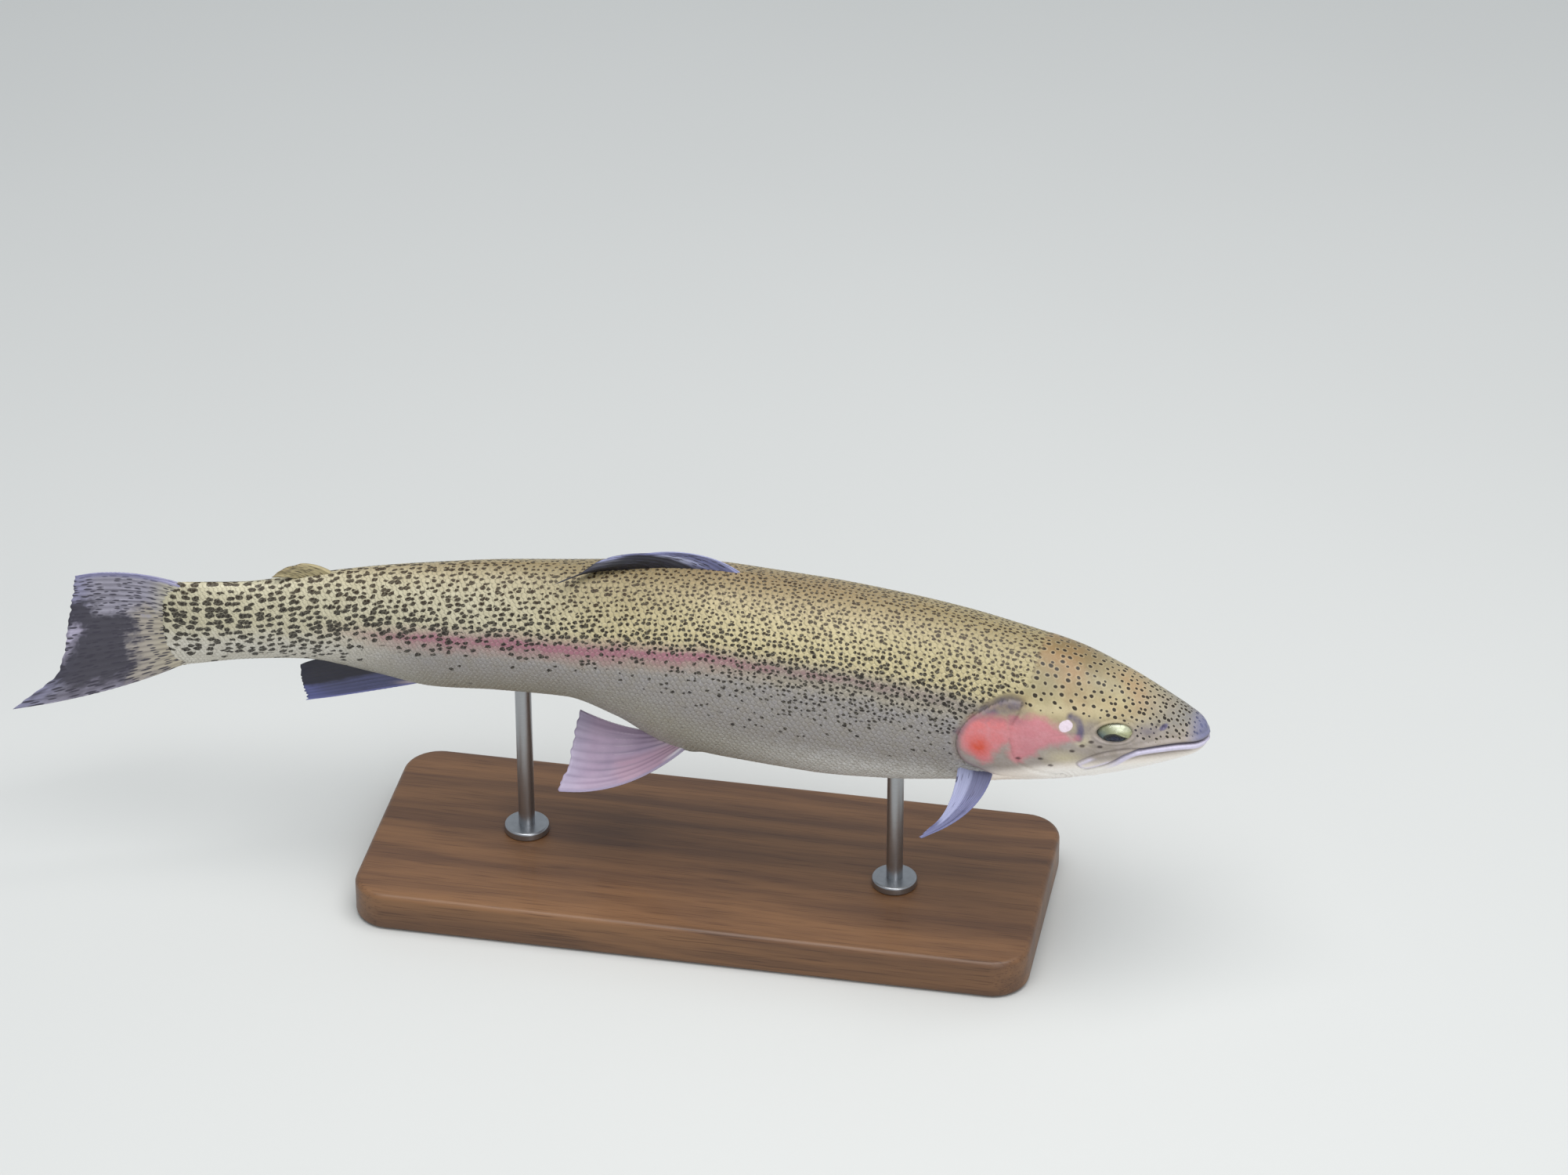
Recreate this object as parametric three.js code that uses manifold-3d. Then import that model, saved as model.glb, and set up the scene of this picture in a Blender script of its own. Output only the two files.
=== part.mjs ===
// A life-size rainbow trout on a plain display stand, in millimetres.
//
// Row frame: +X towards the snout, +Y to the fish's left, +Z up. The origin is the centre of the
// underside of the stand's base.
//
// The fish is drawn straight and then bent. In the straight frame a place is (s, y, z): s is the
// distance back from the tip of the lower jaw, y is to the fish's left and z is up from the body's
// axis. Vectors hold it as (-s, y, z), so that the frame is right-handed, with +X forward.

import * as THREE from 'three';
import { mergeVertices } from 'three/addons/utils/BufferGeometryUtils.js';
import Module from 'manifold-3d';

const wasm = await Module();
wasm.setup();

// ---------------------------------------------------------------- driving dimensions

const AXIS_HEIGHT = 130;      // body axis above the table
const X_AT_JAW_TIP = 241;     // where the spine starts
const Y_AT_JAW_TIP = -22;
const GAP = 0.3;              // between neighbouring pieces
const REACH = 90;             // further than any part of the body from its axis, for cutting tools
const CLEAR = 10;             // well outside the skin, for pockets

// Sections along the body: s, back height, belly height, half width, height of the widest level.
const SECTIONS = [
  { s: -1.5, back: 6.0, belly: 2.4, half: 1.0, wide: 4.0 },
  { s: 0, back: 9.6, belly: -1.0, half: 5.0, wide: 3.0 },
  { s: 3, back: 12.9, belly: -4.2, half: 8.6, wide: 2.5 },
  { s: 9, back: 16.3, belly: -7.4, half: 12.0, wide: 2.0 },
  { s: 20, back: 21.6, belly: -12.4, half: 16.5, wide: 2.5 },
  { s: 41, back: 31.0, belly: -21.2, half: 22.5, wide: 5.0 },
  { s: 65, back: 39.3, belly: -28.2, half: 27.5, wide: 6.0 },
  { s: 95, back: 44.5, belly: -34.5, half: 31.0, wide: 7.0 },
  { s: 120, back: 48.3, belly: -39.5, half: 32.5, wide: 8.0 },
  { s: 150, back: 51.0, belly: -45.0, half: 33.5, wide: 9.0 },
  { s: 190, back: 52.5, belly: -48.5, half: 34.5, wide: 10.0 },
  { s: 230, back: 52.5, belly: -48.0, half: 34.5, wide: 10.0 },
  { s: 262, back: 50.5, belly: -44.5, half: 32.5, wide: 9.0 },
  { s: 285, back: 48.0, belly: -33.5, half: 29.0, wide: 8.0 },
  { s: 310, back: 45.5, belly: -25.5, half: 26.0, wide: 7.0 },
  { s: 345, back: 42.0, belly: -27.0, half: 22.5, wide: 6.0 },
  { s: 378, back: 37.0, belly: -29.5, half: 19.5, wide: 4.0 },
  { s: 405, back: 32.5, belly: -25.5, half: 16.5, wide: 2.0 },
  { s: 440, back: 26.0, belly: -20.0, half: 12.0, wide: 1.0 },
  { s: 470, back: 22.0, belly: -21.0, half: 9.0, wide: 0.0 },
  { s: 490, back: 22.5, belly: -23.0, half: 6.5, wide: 0.0 },
  { s: 502, back: 23.5, belly: -24.0, half: 3.0, wide: 0.0 },
];

// Heading of the spine: how many degrees it turns to the fish's left on its way back.
const HEADINGS = [
  { s: 0, turn: 5.5 },
  { s: 230, turn: 5.5 },
  { s: 300, turn: 0 },
  { s: 380, turn: 0 },
  { s: 430, turn: -6.5 },
  { s: 500, turn: -15.5 },
  { s: 580, turn: -20 },
];
const SPINE_STEP = 1;
const SPINE_END = 600;

// Where one piece of flesh ends and the next begins.
const BODY_START = -1.5;
const HEAD_END = 116;
const TRUNK_SPLIT = 245;
const TAIL_STEM_START = 378;
const BODY_END = 502;
const CHEEK_START = 22;       // in front of every bone that lies over the head
const BODY_SIDES = 28;
const HEAD_STEPS = 16;
const SHELL_STEPS = 11;
const BODY_STEPS = 28;
const HEAD_CROWD = 1.45;      // rings crowd towards the snout

// Lower jaw: the mouth line from the front back, then the edge under the maxilla, as [s, z].
const JAW_FRONT = 0.8;
const MOUTH_LINE = [[0, 4.0], [12, 4.4], [25, 2.6], [33, -0.4], [42, -7.8], [53, -12.8], [62, -14.5]];
const JAW_FLOOR = -40;
const JAW_LEAN = 3;           // how far the hinge's edge leans back on its way down

// Maxilla: the bone that lies over the corner of the mouth, as [s, z] round its outline.
const MAXILLA = [[27, 2.4], [38, 0.8], [46, -1.6], [53, -5.8], [55.5, -8.6], [52, -11.4], [43, -7.6],
  [34, -1.0]];
const MAXILLA_DEPTH = 1.6;
const MAXILLA_PROUD = 0.7;

// Gill cover: rear edge from the top down, then the lower edge forward, then the front edge up.
const GILL_COVER = [[82, 22.5], [90, 23], [99, 18], [107, 10.5], [111.4, 0], [110, -11], [102, -17.5],
  [92, -22.2], [78, -22.4], [64, -19], [74, -16.4], [83, -10.5], [86.6, 0], [86, 11]];
const GILL_DEPTH = 2.4;
const GILL_PROUD = 0.8;

// Eye: an egg shape, set into the side of the head.
const EYE = { s: 39.2, z: 9.6, side: 17.8, along: 8.8, across: 4.8, high: 5.6, turn: 13 };
const EYE_PARTS = 16;

// Fins. Each ray is a curve [root, middle, tip] of [s, y, z], listed from the front of the fin to
// its rear. Roots start inside the body and are trimmed to its surface.
const DORSAL_RAYS = [
  [[221, 0, 48.5], [238, -1, 66.5], [278, -3, 56.5]],
  [[240, 0, 48], [262, -2, 62.5], [293, -6, 53.5]],
  [[264, 0, 46.5], [281, -4, 55.5], [302, -10, 49]],
  [[289, 0, 43.5], [299, -5, 50.5], [314, -17, 44.5]],
];
const ADIPOSE_RAYS = [
  [[422, 0, 25], [430, 0, 33], [441, -0.5, 33]],
  [[430, 0, 23.5], [440, 0, 31], [450, -1.5, 30]],
  [[437, 0, 22.5], [446, 0, 27], [455, -3, 26.5]],
];
const ANAL_RAYS = [
  [[372, 0, -25.5], [404, 0, -38], [442, 0, -45]],
  [[390, 0, -24], [416, 0, -33], [443, 0, -39]],
  [[408, 0, -21], [427, 0, -28], [444, 0, -32]],
  [[425, 0, -18], [437, 0, -22], [444, 0, -25]],
];
const CAUDAL_RAYS = [
  [[498, 0, 21.5], [524, 0, 33], [549, 0, 29.5]],
  [[500, 0, 11], [526, 0, 17], [552, 0, 17]],
  [[501, 0, 0], [526, 0, 0], [555, 0, -1]],
  [[500, 0, -12], [530, 0, -18], [560, 0, -22]],
  [[498, 0, -22], [530, 0, -38], [584, 0, -43]],
];
const PELVIC_RAYS = [
  [[248, -12, -40.5], [275, -27.5, -65.5], [309, -41, -57]],
  [[252, -11, -40.5], [284, -23, -62], [306.5, -31, -49.5]],
  [[256, -10, -39.5], [285, -15.5, -49], [306, -19, -42]],
  [[261, -8, -38.5], [283, -8.5, -41], [304.5, -7, -31.5]],
];
const PECTORAL_RAYS = [
  [[97, -17, -21], [94, -43.5, -31], [117, -76, -27.5]],
  [[102, -19, -20], [97.5, -43.5, -30.5], [118, -74, -28.5]],
  [[107, -21, -19], [102.5, -44.5, -30.5], [117.5, -70, -29]],
  [[112, -23, -17], [108, -46.5, -30], [115, -64, -28.5]],
];

// Display stand.
const BASE = { length: 330, width: 130, height: 20, corner: 18, bevel: 3 };
const ROD_RADIUS = 4;
const ROD_SIDES = 16;
const ROD_AT = [149, 334];    // s above each rod
const SOCKET_DEPTH = 12;      // rod end sunk into the base
const ROD_IN_BODY = 14;       // rod end sunk into the body
const COLLAR = { radius: 11, height: 4, bevel: 1.2 };

// ---------------------------------------------------------------- materials

const finish = (color, roughness, metalness = 0) => new THREE.MeshStandardMaterial({
  color, roughness, metalness,
});
const OLIVE_SKIN = finish('#8d865f', 0.4);
const SILVER_SKIN = finish('#a3a08f', 0.4);
const JAW_SKIN = finish('#cfc6bd', 0.4);
const RED_GILL = finish('#c96a5c', 0.35);
const GOLD_EYE = finish('#8f8440', 0.1);
const FIN_SKIN = finish('#8a86a0', 0.45);
const PALE_FIN = finish('#b3a3b4', 0.45);
const WOOD = finish('#6b4526', 0.5);
const STEEL = finish('#b9bcc0', 0.3, 1);

// ---------------------------------------------------------------- curves along the body

/** Smooth curve through the points (xs, ys) that never overshoots them. */
function smoothThrough(xs, ys) {
  const gaps = xs.slice(1).map((x, i) => x - xs[i]);
  const slopes = gaps.map((gap, i) => (ys[i + 1] - ys[i]) / gap);
  const tangents = xs.map((_, i) => {
    if (i === 0) return slopes[0];
    if (i === xs.length - 1) return slopes[i - 1];
    if (slopes[i - 1] * slopes[i] <= 0) return 0;
    const before = 2 * gaps[i] + gaps[i - 1];
    const after = gaps[i] + 2 * gaps[i - 1];
    return (before + after) / (before / slopes[i - 1] + after / slopes[i]);
  });
  return (x) => {
    let i = 0;
    while (i < xs.length - 2 && x > xs[i + 1]) i += 1;
    const t = (x - xs[i]) / gaps[i];
    const start = (1 + 2 * t) * (1 - t) ** 2 * ys[i] + t * (1 - t) ** 2 * gaps[i] * tangents[i];
    const end = t * t * (3 - 2 * t) * ys[i + 1] + t * t * (t - 1) * gaps[i] * tangents[i + 1];
    return start + end;
  };
}

const stations = SECTIONS.map((section) => section.s);
const along = (name) => smoothThrough(stations, SECTIONS.map((section) => section[name]));
const backAt = along('back');
const bellyAt = along('belly');
const halfAt = along('half');
const wideAt = along('wide');

const turnAt = smoothThrough(HEADINGS.map((row) => row.s), HEADINGS.map((row) => row.turn));

/** Heading of the spine at s, in radians; straight ahead of the first value. */
const headingAt = (s) => THREE.MathUtils.degToRad(turnAt(Math.max(s, 0)));

/** The spine's places at every SPINE_STEP, by adding up its heading. */
const spineTable = [{ x: X_AT_JAW_TIP, y: Y_AT_JAW_TIP }];
for (let s = 0; s < SPINE_END; s += SPINE_STEP) {
  const last = spineTable[spineTable.length - 1];
  const heading = headingAt(s + SPINE_STEP / 2);
  spineTable.push({
    x: last.x - Math.cos(heading) * SPINE_STEP,
    y: last.y + Math.sin(heading) * SPINE_STEP,
  });
}

/** The spine's place at s, in the row frame. */
function spineAt(s) {
  const step = THREE.MathUtils.clamp(Math.floor(s / SPINE_STEP), 0, spineTable.length - 2);
  const part = s / SPINE_STEP - step;
  const [a, b] = [spineTable[step], spineTable[step + 1]];
  return { x: a.x + (b.x - a.x) * part, y: a.y + (b.y - a.y) * part };
}

/** Moves a point of the straight fish to its place in the row frame. */
function bend(point) {
  const s = -point.x;
  const heading = headingAt(s);
  const spine = spineAt(s);
  point.set(
    spine.x + point.y * Math.sin(heading),
    spine.y + point.y * Math.cos(heading),
    point.z + AXIS_HEIGHT,
  );
}

// ---------------------------------------------------------------- geometry helpers

/** Moves each vertex of a geometry by a function that changes a Vector3 in place. */
function reshape(geometry, change) {
  const places = geometry.attributes.position;
  const point = new THREE.Vector3();
  for (let i = 0; i < places.count; i += 1) {
    point.fromBufferAttribute(places, i);
    change(point);
    places.setXYZ(i, point.x, point.y, point.z);
  }
  return geometry;
}

/** A closed geometry as a solid that can be joined and cut. */
function toSolid(geometry) {
  const bare = geometry.clone();
  bare.deleteAttribute('normal');
  bare.deleteAttribute('uv');
  const merged = mergeVertices(bare, 1e-4);
  return new wasm.Manifold(new wasm.Mesh({
    numProp: 3,
    vertProperties: new Float32Array(merged.attributes.position.array),
    triVerts: new Uint32Array(merged.index.array),
  }));
}

/** A solid back as a geometry. */
function toGeometry(solid) {
  const mesh = solid.getMesh();
  const geometry = new THREE.BufferGeometry();
  geometry.setAttribute('position', new THREE.BufferAttribute(mesh.vertProperties, 3));
  geometry.setIndex(new THREE.BufferAttribute(mesh.triVerts, 1));
  geometry.computeVertexNormals();
  return geometry;
}

/** A box between two corners, as a solid. */
function boxSolid(low, high) {
  const box = new THREE.BoxGeometry(high[0] - low[0], high[1] - low[1], high[2] - low[2]);
  box.translate((low[0] + high[0]) / 2, (low[1] + high[1]) / 2, (low[2] + high[2]) / 2);
  return toSolid(box);
}

/** An upright cylinder from one height to another, as a solid. */
function rodSolid(x, y, bottom, top, radius) {
  const rod = new THREE.CylinderGeometry(radius, radius, top - bottom, ROD_SIDES);
  rod.rotateX(Math.PI / 2);
  rod.translate(x, y, (bottom + top) / 2);
  return toSolid(rod);
}

// ---------------------------------------------------------------- the fish, drawn straight

/**
 * The body's flesh between two stations, as a geometry. `steps` rings follow each other, closer
 * together at the front where `crowd` is over 1, and `grow` moves the surface out.
 */
function fleshGeometry(from, to, steps, { grow = 0, crowd = 1 } = {}) {
  const tube = new THREE.CylinderGeometry(1, 1, 1, BODY_SIDES, steps);
  tube.rotateZ(-Math.PI / 2);
  return reshape(tube, (point) => {
    const s = from + (to - from) * (0.5 - point.x) ** crowd;
    const wide = wideAt(s);
    const rise = point.z > 0 ? backAt(s) - wide : wide - bellyAt(s);
    point.set(-s, point.y * (halfAt(s) + grow), wide + point.z * (rise + grow));
  });
}

/** The whole body as one solid, grown all round. */
function wholeBody(grow) {
  const front = fleshGeometry(BODY_START - grow, HEAD_END, HEAD_STEPS, { grow, crowd: HEAD_CROWD });
  const rear = fleshGeometry(HEAD_END, BODY_END + grow, BODY_STEPS, { grow });
  return toSolid(front).add(toSolid(rear));
}

/** The side of the head as a layer, from `depth` under the skin to `proud` over it. */
function headShell(depth, proud) {
  const outer = fleshGeometry(CHEEK_START, HEAD_END, SHELL_STEPS, { grow: proud });
  const inner = fleshGeometry(CHEEK_START - 1, HEAD_END + 1, SHELL_STEPS, { grow: -depth });
  return toSolid(outer).subtract(toSolid(inner));
}

/** A prism right through the fish from side to side, on an outline of [s, z] points. */
function sidePrism(outline, { smooth = true, gap = 0 } = {}) {
  const corners = outline.map(([s, z]) => new THREE.Vector2(-s, z));
  const curve = new THREE.SplineCurve([...corners, corners[0]]);
  const points = smooth ? curve.getPoints(outline.length * 2).slice(0, -1) : corners;
  const prism = new THREE.ExtrudeGeometry(new THREE.Shape(points), {
    depth: 2 * REACH,
    bevelEnabled: gap > 0,
    bevelSize: gap,
    bevelThickness: gap,
    bevelSegments: 1,
  });
  prism.rotateX(Math.PI / 2);
  prism.translate(0, REACH, 0);
  return toSolid(prism);
}

const rightHalf = boxSolid([-HEAD_END, -REACH, -REACH], [0, 0, REACH]);
const leftHalf = boxSolid([-HEAD_END, 0, -REACH], [0, REACH, REACH]);

/** An eye, or with `gap` the socket for it. `side` is -1 on the right and 1 on the left. */
function eyeSolid(side, gap = 0) {
  const ball = new THREE.SphereGeometry(1, EYE_PARTS, EYE_PARTS / 2);
  ball.rotateX(Math.PI / 2);
  ball.scale(EYE.along + gap, EYE.across + gap, EYE.high + gap);
  ball.rotateZ(-side * THREE.MathUtils.degToRad(EYE.turn));
  ball.translate(-EYE.s, side * EYE.side, EYE.z);
  return toSolid(ball);
}

/** The mouth's cut: everything under the mouth line, from `front` back to the jaw's hinge. */
function jawPrism(front, gap) {
  const hinge = MOUTH_LINE[MOUTH_LINE.length - 1];
  const line = MOUTH_LINE.slice(1);
  const outline = [[front, MOUTH_LINE[0][1]], ...line, [hinge[0] + JAW_LEAN, JAW_FLOOR], [front, JAW_FLOOR]];
  return sidePrism(outline, { smooth: false, gap });
}

const maxillaPocket = sidePrism(MAXILLA, { gap: GAP }).intersect(headShell(MAXILLA_DEPTH + GAP, CLEAR));
const gillPocket = sidePrism(GILL_COVER, { gap: GAP }).intersect(headShell(GILL_DEPTH + GAP, CLEAR));
const maxillae = sidePrism(MAXILLA).intersect(headShell(MAXILLA_DEPTH, MAXILLA_PROUD));
const gillCovers = sidePrism(GILL_COVER).intersect(headShell(GILL_DEPTH, GILL_PROUD));
const wholeHead = toSolid(fleshGeometry(BODY_START, HEAD_END - GAP / 2, HEAD_STEPS, { crowd: HEAD_CROWD }));

const head = wholeHead
  .subtract(jawPrism(BODY_START - 2, GAP))
  .subtract(maxillaPocket)
  .subtract(gillPocket)
  .subtract(eyeSolid(-1, GAP))
  .subtract(eyeSolid(1, GAP));
const lowerJaw = wholeHead
  .intersect(jawPrism(JAW_FRONT, 0))
  .subtract(maxillaPocket);

/**
 * A fin as a thin closed sheet over its rays. `thick` holds the thickness at the root and at the
 * edge, `side` mirrors a right fin to the left.
 */
function finGeometry(rays, thick, { across = 7, out = 6, side = -1 } = {}) {
  const places = rays.map((_, i) => i / (rays.length - 1));
  const handles = [0, 1, 2].map((part) => [0, 1, 2].map(
    (axis) => smoothThrough(places, rays.map((ray) => ray[part][axis])),
  ));
  const surface = (q, r) => {
    const [root, middle, tip] = handles.map((axes) => axes.map((curve) => curve(q)));
    const at = (axis) => (1 - r) ** 2 * root[axis] + 2 * r * (1 - r) * middle[axis] + r * r * tip[axis];
    return new THREE.Vector3(-at(0), -side * at(1), at(2));
  };
  const sheet = new THREE.BoxGeometry(1, 1, 1, across, out, 1);
  return reshape(sheet, (point) => {
    const q = point.x + 0.5;
    const r = point.y + 0.5;
    const half = THREE.MathUtils.lerp(thick.root, thick.edge, Math.sqrt(r)) * point.z;
    const step = 0.01;
    const alongFin = surface(q + step, r).sub(surface(q - step, r));
    const outward = surface(q, r + step).sub(surface(q, r - step));
    const normal = alongFin.cross(outward).normalize();
    point.copy(surface(q, r)).addScaledVector(normal, half);
  });
}

const paddedBody = wholeBody(GAP);
const finSolid = (rays, thick, options) => toSolid(finGeometry(rays, thick, options))
  .subtract(paddedBody)
  .simplify(SLIVER);

const SLIVER = 0.02;
const THIN = { root: 2.4, edge: 0.8 };
const FLESHY = { root: 3.2, edge: 1.6 };
const PAIRED = { root: 3.0, edge: 0.8 };

// ---------------------------------------------------------------- the display stand

/** The wooden base: a rounded slab with softened edges and a socket for each rod. */
function baseSolid(rodPlaces) {
  const { length, width, height, corner, bevel } = BASE;
  const [halfLength, halfWidth] = [length / 2 - bevel, width / 2 - bevel];
  const outline = new THREE.Shape();
  outline.absarc(halfLength - corner, halfWidth - corner, corner, 0, Math.PI / 2);
  outline.absarc(corner - halfLength, halfWidth - corner, corner, Math.PI / 2, Math.PI);
  outline.absarc(corner - halfLength, corner - halfWidth, corner, Math.PI, Math.PI * 1.5);
  outline.absarc(halfLength - corner, corner - halfWidth, corner, Math.PI * 1.5, Math.PI * 2);
  const slab = new THREE.ExtrudeGeometry(outline, {
    depth: height - 2 * bevel,
    bevelSize: bevel,
    bevelThickness: bevel,
    bevelSegments: 2,
    curveSegments: 4,
  });
  slab.translate(0, 0, bevel);
  return rodPlaces.reduce((solid, { x, y }) => solid.subtract(
    rodSolid(x, y, height - SOCKET_DEPTH - GAP, height + 1, ROD_RADIUS + GAP),
  ), toSolid(slab));
}

/** A steel ring round the foot of a rod. */
function collarGeometry({ x, y }) {
  const bottom = BASE.height + GAP;
  const top = bottom + COLLAR.height;
  const profile = [
    new THREE.Vector2(ROD_RADIUS + GAP, bottom),
    new THREE.Vector2(COLLAR.radius, bottom),
    new THREE.Vector2(COLLAR.radius, top - COLLAR.bevel),
    new THREE.Vector2(COLLAR.radius - COLLAR.bevel, top),
    new THREE.Vector2(ROD_RADIUS + GAP, top),
    new THREE.Vector2(ROD_RADIUS + GAP, bottom),
  ];
  const ring = new THREE.LatheGeometry(profile, ROD_SIDES);
  ring.rotateX(Math.PI / 2);
  ring.translate(x, y, 0);
  return ring;
}

const rodPlaces = ROD_AT.map((s) => ({ ...spineAt(s), top: AXIS_HEIGHT + bellyAt(s) + ROD_IN_BODY }));

/** A length of flesh, bent, with the hole for each rod that ends in it. */
function drilledFlesh(from, to, steps) {
  const piece = fleshGeometry(from + GAP / 2, to - GAP / 2, steps);
  return rodPlaces.reduce((solid, { x, y, top }) => solid.subtract(
    rodSolid(x, y, 0, top + GAP, ROD_RADIUS + GAP),
  ), toSolid(reshape(piece, bend)));
}

// ---------------------------------------------------------------- the model

const model = new THREE.Group();
model.name = 'rainbow_trout';

/** Adds one named piece to the model. */
function add(name, geometry, material) {
  const mesh = new THREE.Mesh(geometry, material);
  mesh.name = name;
  model.add(mesh);
}

/** Adds a piece that was drawn on the straight fish. */
const addBent = (name, solid, material) => add(name, reshape(toGeometry(solid), bend), material);

addBent('head', head, OLIVE_SKIN);
addBent('lower_jaw', lowerJaw, JAW_SKIN);
addBent('maxilla_right', maxillae.intersect(rightHalf), JAW_SKIN);
addBent('maxilla_left', maxillae.intersect(leftHalf), JAW_SKIN);
addBent('gill_cover_right', gillCovers.intersect(rightHalf), RED_GILL);
addBent('gill_cover_left', gillCovers.intersect(leftHalf), RED_GILL);
addBent('eye_right', eyeSolid(-1), GOLD_EYE);
addBent('eye_left', eyeSolid(1), GOLD_EYE);

add('trunk_front', toGeometry(drilledFlesh(HEAD_END, TRUNK_SPLIT, 9)), OLIVE_SKIN);
add('trunk_middle', toGeometry(drilledFlesh(TRUNK_SPLIT, TAIL_STEM_START, 12)), SILVER_SKIN);
add('tail_stem', toGeometry(drilledFlesh(TAIL_STEM_START, BODY_END + GAP / 2, 9)), SILVER_SKIN);

addBent('dorsal_fin', finSolid(DORSAL_RAYS, THIN, { across: 10 }), FIN_SKIN);
addBent('adipose_fin', finSolid(ADIPOSE_RAYS, FLESHY, { across: 5, out: 5 }), FIN_SKIN);
addBent('caudal_fin', finSolid(CAUDAL_RAYS, THIN, { across: 10, out: 7 }), FIN_SKIN);
addBent('anal_fin', finSolid(ANAL_RAYS, THIN, { across: 9 }), FIN_SKIN);
addBent('pelvic_fin_right', finSolid(PELVIC_RAYS, PAIRED, {}), PALE_FIN);
addBent('pelvic_fin_left', finSolid(PELVIC_RAYS, PAIRED, { side: 1 }), PALE_FIN);
addBent('pectoral_fin_right', finSolid(PECTORAL_RAYS, PAIRED, { out: 7 }), FIN_SKIN);
addBent('pectoral_fin_left', finSolid(PECTORAL_RAYS, PAIRED, { out: 7, side: 1 }), FIN_SKIN);

add('stand_base', toGeometry(baseSolid(rodPlaces)), WOOD);
['front', 'rear'].forEach((end, i) => {
  const { x, y, top } = rodPlaces[i];
  const bottom = BASE.height - SOCKET_DEPTH;
  add(`stand_rod_${end}`, toGeometry(rodSolid(x, y, bottom, top, ROD_RADIUS)), STEEL);
  add(`stand_collar_${end}`, collarGeometry(rodPlaces[i]), STEEL);
});

export default model;
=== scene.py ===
"""A life-size rainbow trout on a plain display stand: the looks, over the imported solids.

Shapes are worked out in millimetres on a straight fish and then bent along its spine. A place on
the straight fish is (s, y, z): s is the distance back from the tip of the lower jaw, y is to the
fish's left and z is up from the body's axis. Meshes are written in metres.
"""
import math

import bmesh
import bpy
import numpy as np
from mathutils import Matrix, Vector


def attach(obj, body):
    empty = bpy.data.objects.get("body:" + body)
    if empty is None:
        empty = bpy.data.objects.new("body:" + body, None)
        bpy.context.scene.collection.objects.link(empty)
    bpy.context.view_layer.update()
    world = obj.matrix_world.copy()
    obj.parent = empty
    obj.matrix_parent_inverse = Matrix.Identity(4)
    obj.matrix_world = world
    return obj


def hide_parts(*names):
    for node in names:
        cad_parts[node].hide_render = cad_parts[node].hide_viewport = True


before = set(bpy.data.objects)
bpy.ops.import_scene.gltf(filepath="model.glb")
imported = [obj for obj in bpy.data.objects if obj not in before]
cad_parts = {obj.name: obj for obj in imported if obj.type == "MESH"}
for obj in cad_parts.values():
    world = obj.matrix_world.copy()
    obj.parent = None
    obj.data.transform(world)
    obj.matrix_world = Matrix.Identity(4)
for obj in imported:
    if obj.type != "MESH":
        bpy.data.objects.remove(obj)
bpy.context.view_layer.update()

MM = 0.001

# ---- driving dimensions

AXIS_HEIGHT = 130.0
JAW_TIP = (241.0, -22.0)

# s, back height, belly height, half width, height of the widest level
SECTIONS = np.array([
    (-1.5, 6.0, 2.4, 1.0, 4.0), (0, 9.6, -1.0, 5.0, 3.0), (3, 12.9, -4.2, 8.6, 2.5),
    (9, 16.3, -7.4, 12.0, 2.0), (20, 21.6, -12.4, 16.5, 2.5), (41, 31.0, -21.2, 22.5, 5.0),
    (65, 39.3, -28.2, 27.5, 6.0), (95, 44.5, -34.5, 31.0, 7.0), (120, 48.3, -39.5, 32.5, 8.0),
    (150, 51.0, -45.0, 33.5, 9.0), (190, 52.5, -48.5, 34.5, 10.0), (230, 52.5, -48.0, 34.5, 10.0),
    (262, 50.5, -44.5, 32.5, 9.0), (285, 48.0, -33.5, 29.0, 8.0), (310, 45.5, -25.5, 26.0, 7.0),
    (345, 42.0, -27.0, 22.5, 6.0), (378, 37.0, -29.5, 19.5, 4.0), (405, 32.5, -25.5, 16.5, 2.0),
    (440, 26.0, -20.0, 12.0, 1.0), (470, 22.0, -21.0, 9.0, 0.0), (490, 22.5, -23.0, 6.5, 0.0),
    (502, 23.5, -24.0, 3.0, 0.0), (509, 24.5, -25.5, 1.3, 0.0),
])
SNOUT_END, TAIL_END = SECTIONS[0, 0], SECTIONS[-1, 0]
# the spine's heading, as (s, degrees to the fish's left on the way back)
TURNS = np.array([(0, 5.5), (230, 5.5), (300, 0), (380, 0), (430, -6.5), (500, -15.5), (580, -20)])
SPINE_END = 600.0
HEAD_TO = 125.0            # the head's relief ends before this
SKIN_INSET = 0.3           # the skin lies this far inside the solids where scales cover it

# outlines on the side of the head, as (s, z)
MOUTH = [(-2.5, 4.0), (0, 4.0), (12, 4.4), (25, 2.6), (33, -0.4), (42, -7.8), (53, -12.8)]
MAXILLA = [(27, 2.4), (38, 0.8), (46, -1.6), (53, -5.8), (55.5, -8.6), (52, -11.4), (43, -7.6),
           (34, -1.0)]
GILL_COVER = [(82, 22.5), (90, 23), (99, 18), (107, 10.5), (111.4, 0), (110, -11), (102, -17.5),
              (92, -22.2), (78, -22.4), (64, -19), (74, -16.4), (83, -10.5), (86.6, 0), (86, 11)]
CHEEK_EDGE = [(80, 22), (86, 11), (86.6, 0), (83, -10.5), (74, -16.4), (62, -19), (52, -20)]
ORBIT = {"s": 38.9, "z": 10.6, "along": 8.3, "high": 4.8}
EYE = {"s": 39.2, "z": 9.6, "side": 17.8, "along": 8.8, "across": 4.8, "high": 5.6, "turn": 13.0}
NOSTRILS = [(17.4, 12.9), (19.9, 13.4)]

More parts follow.
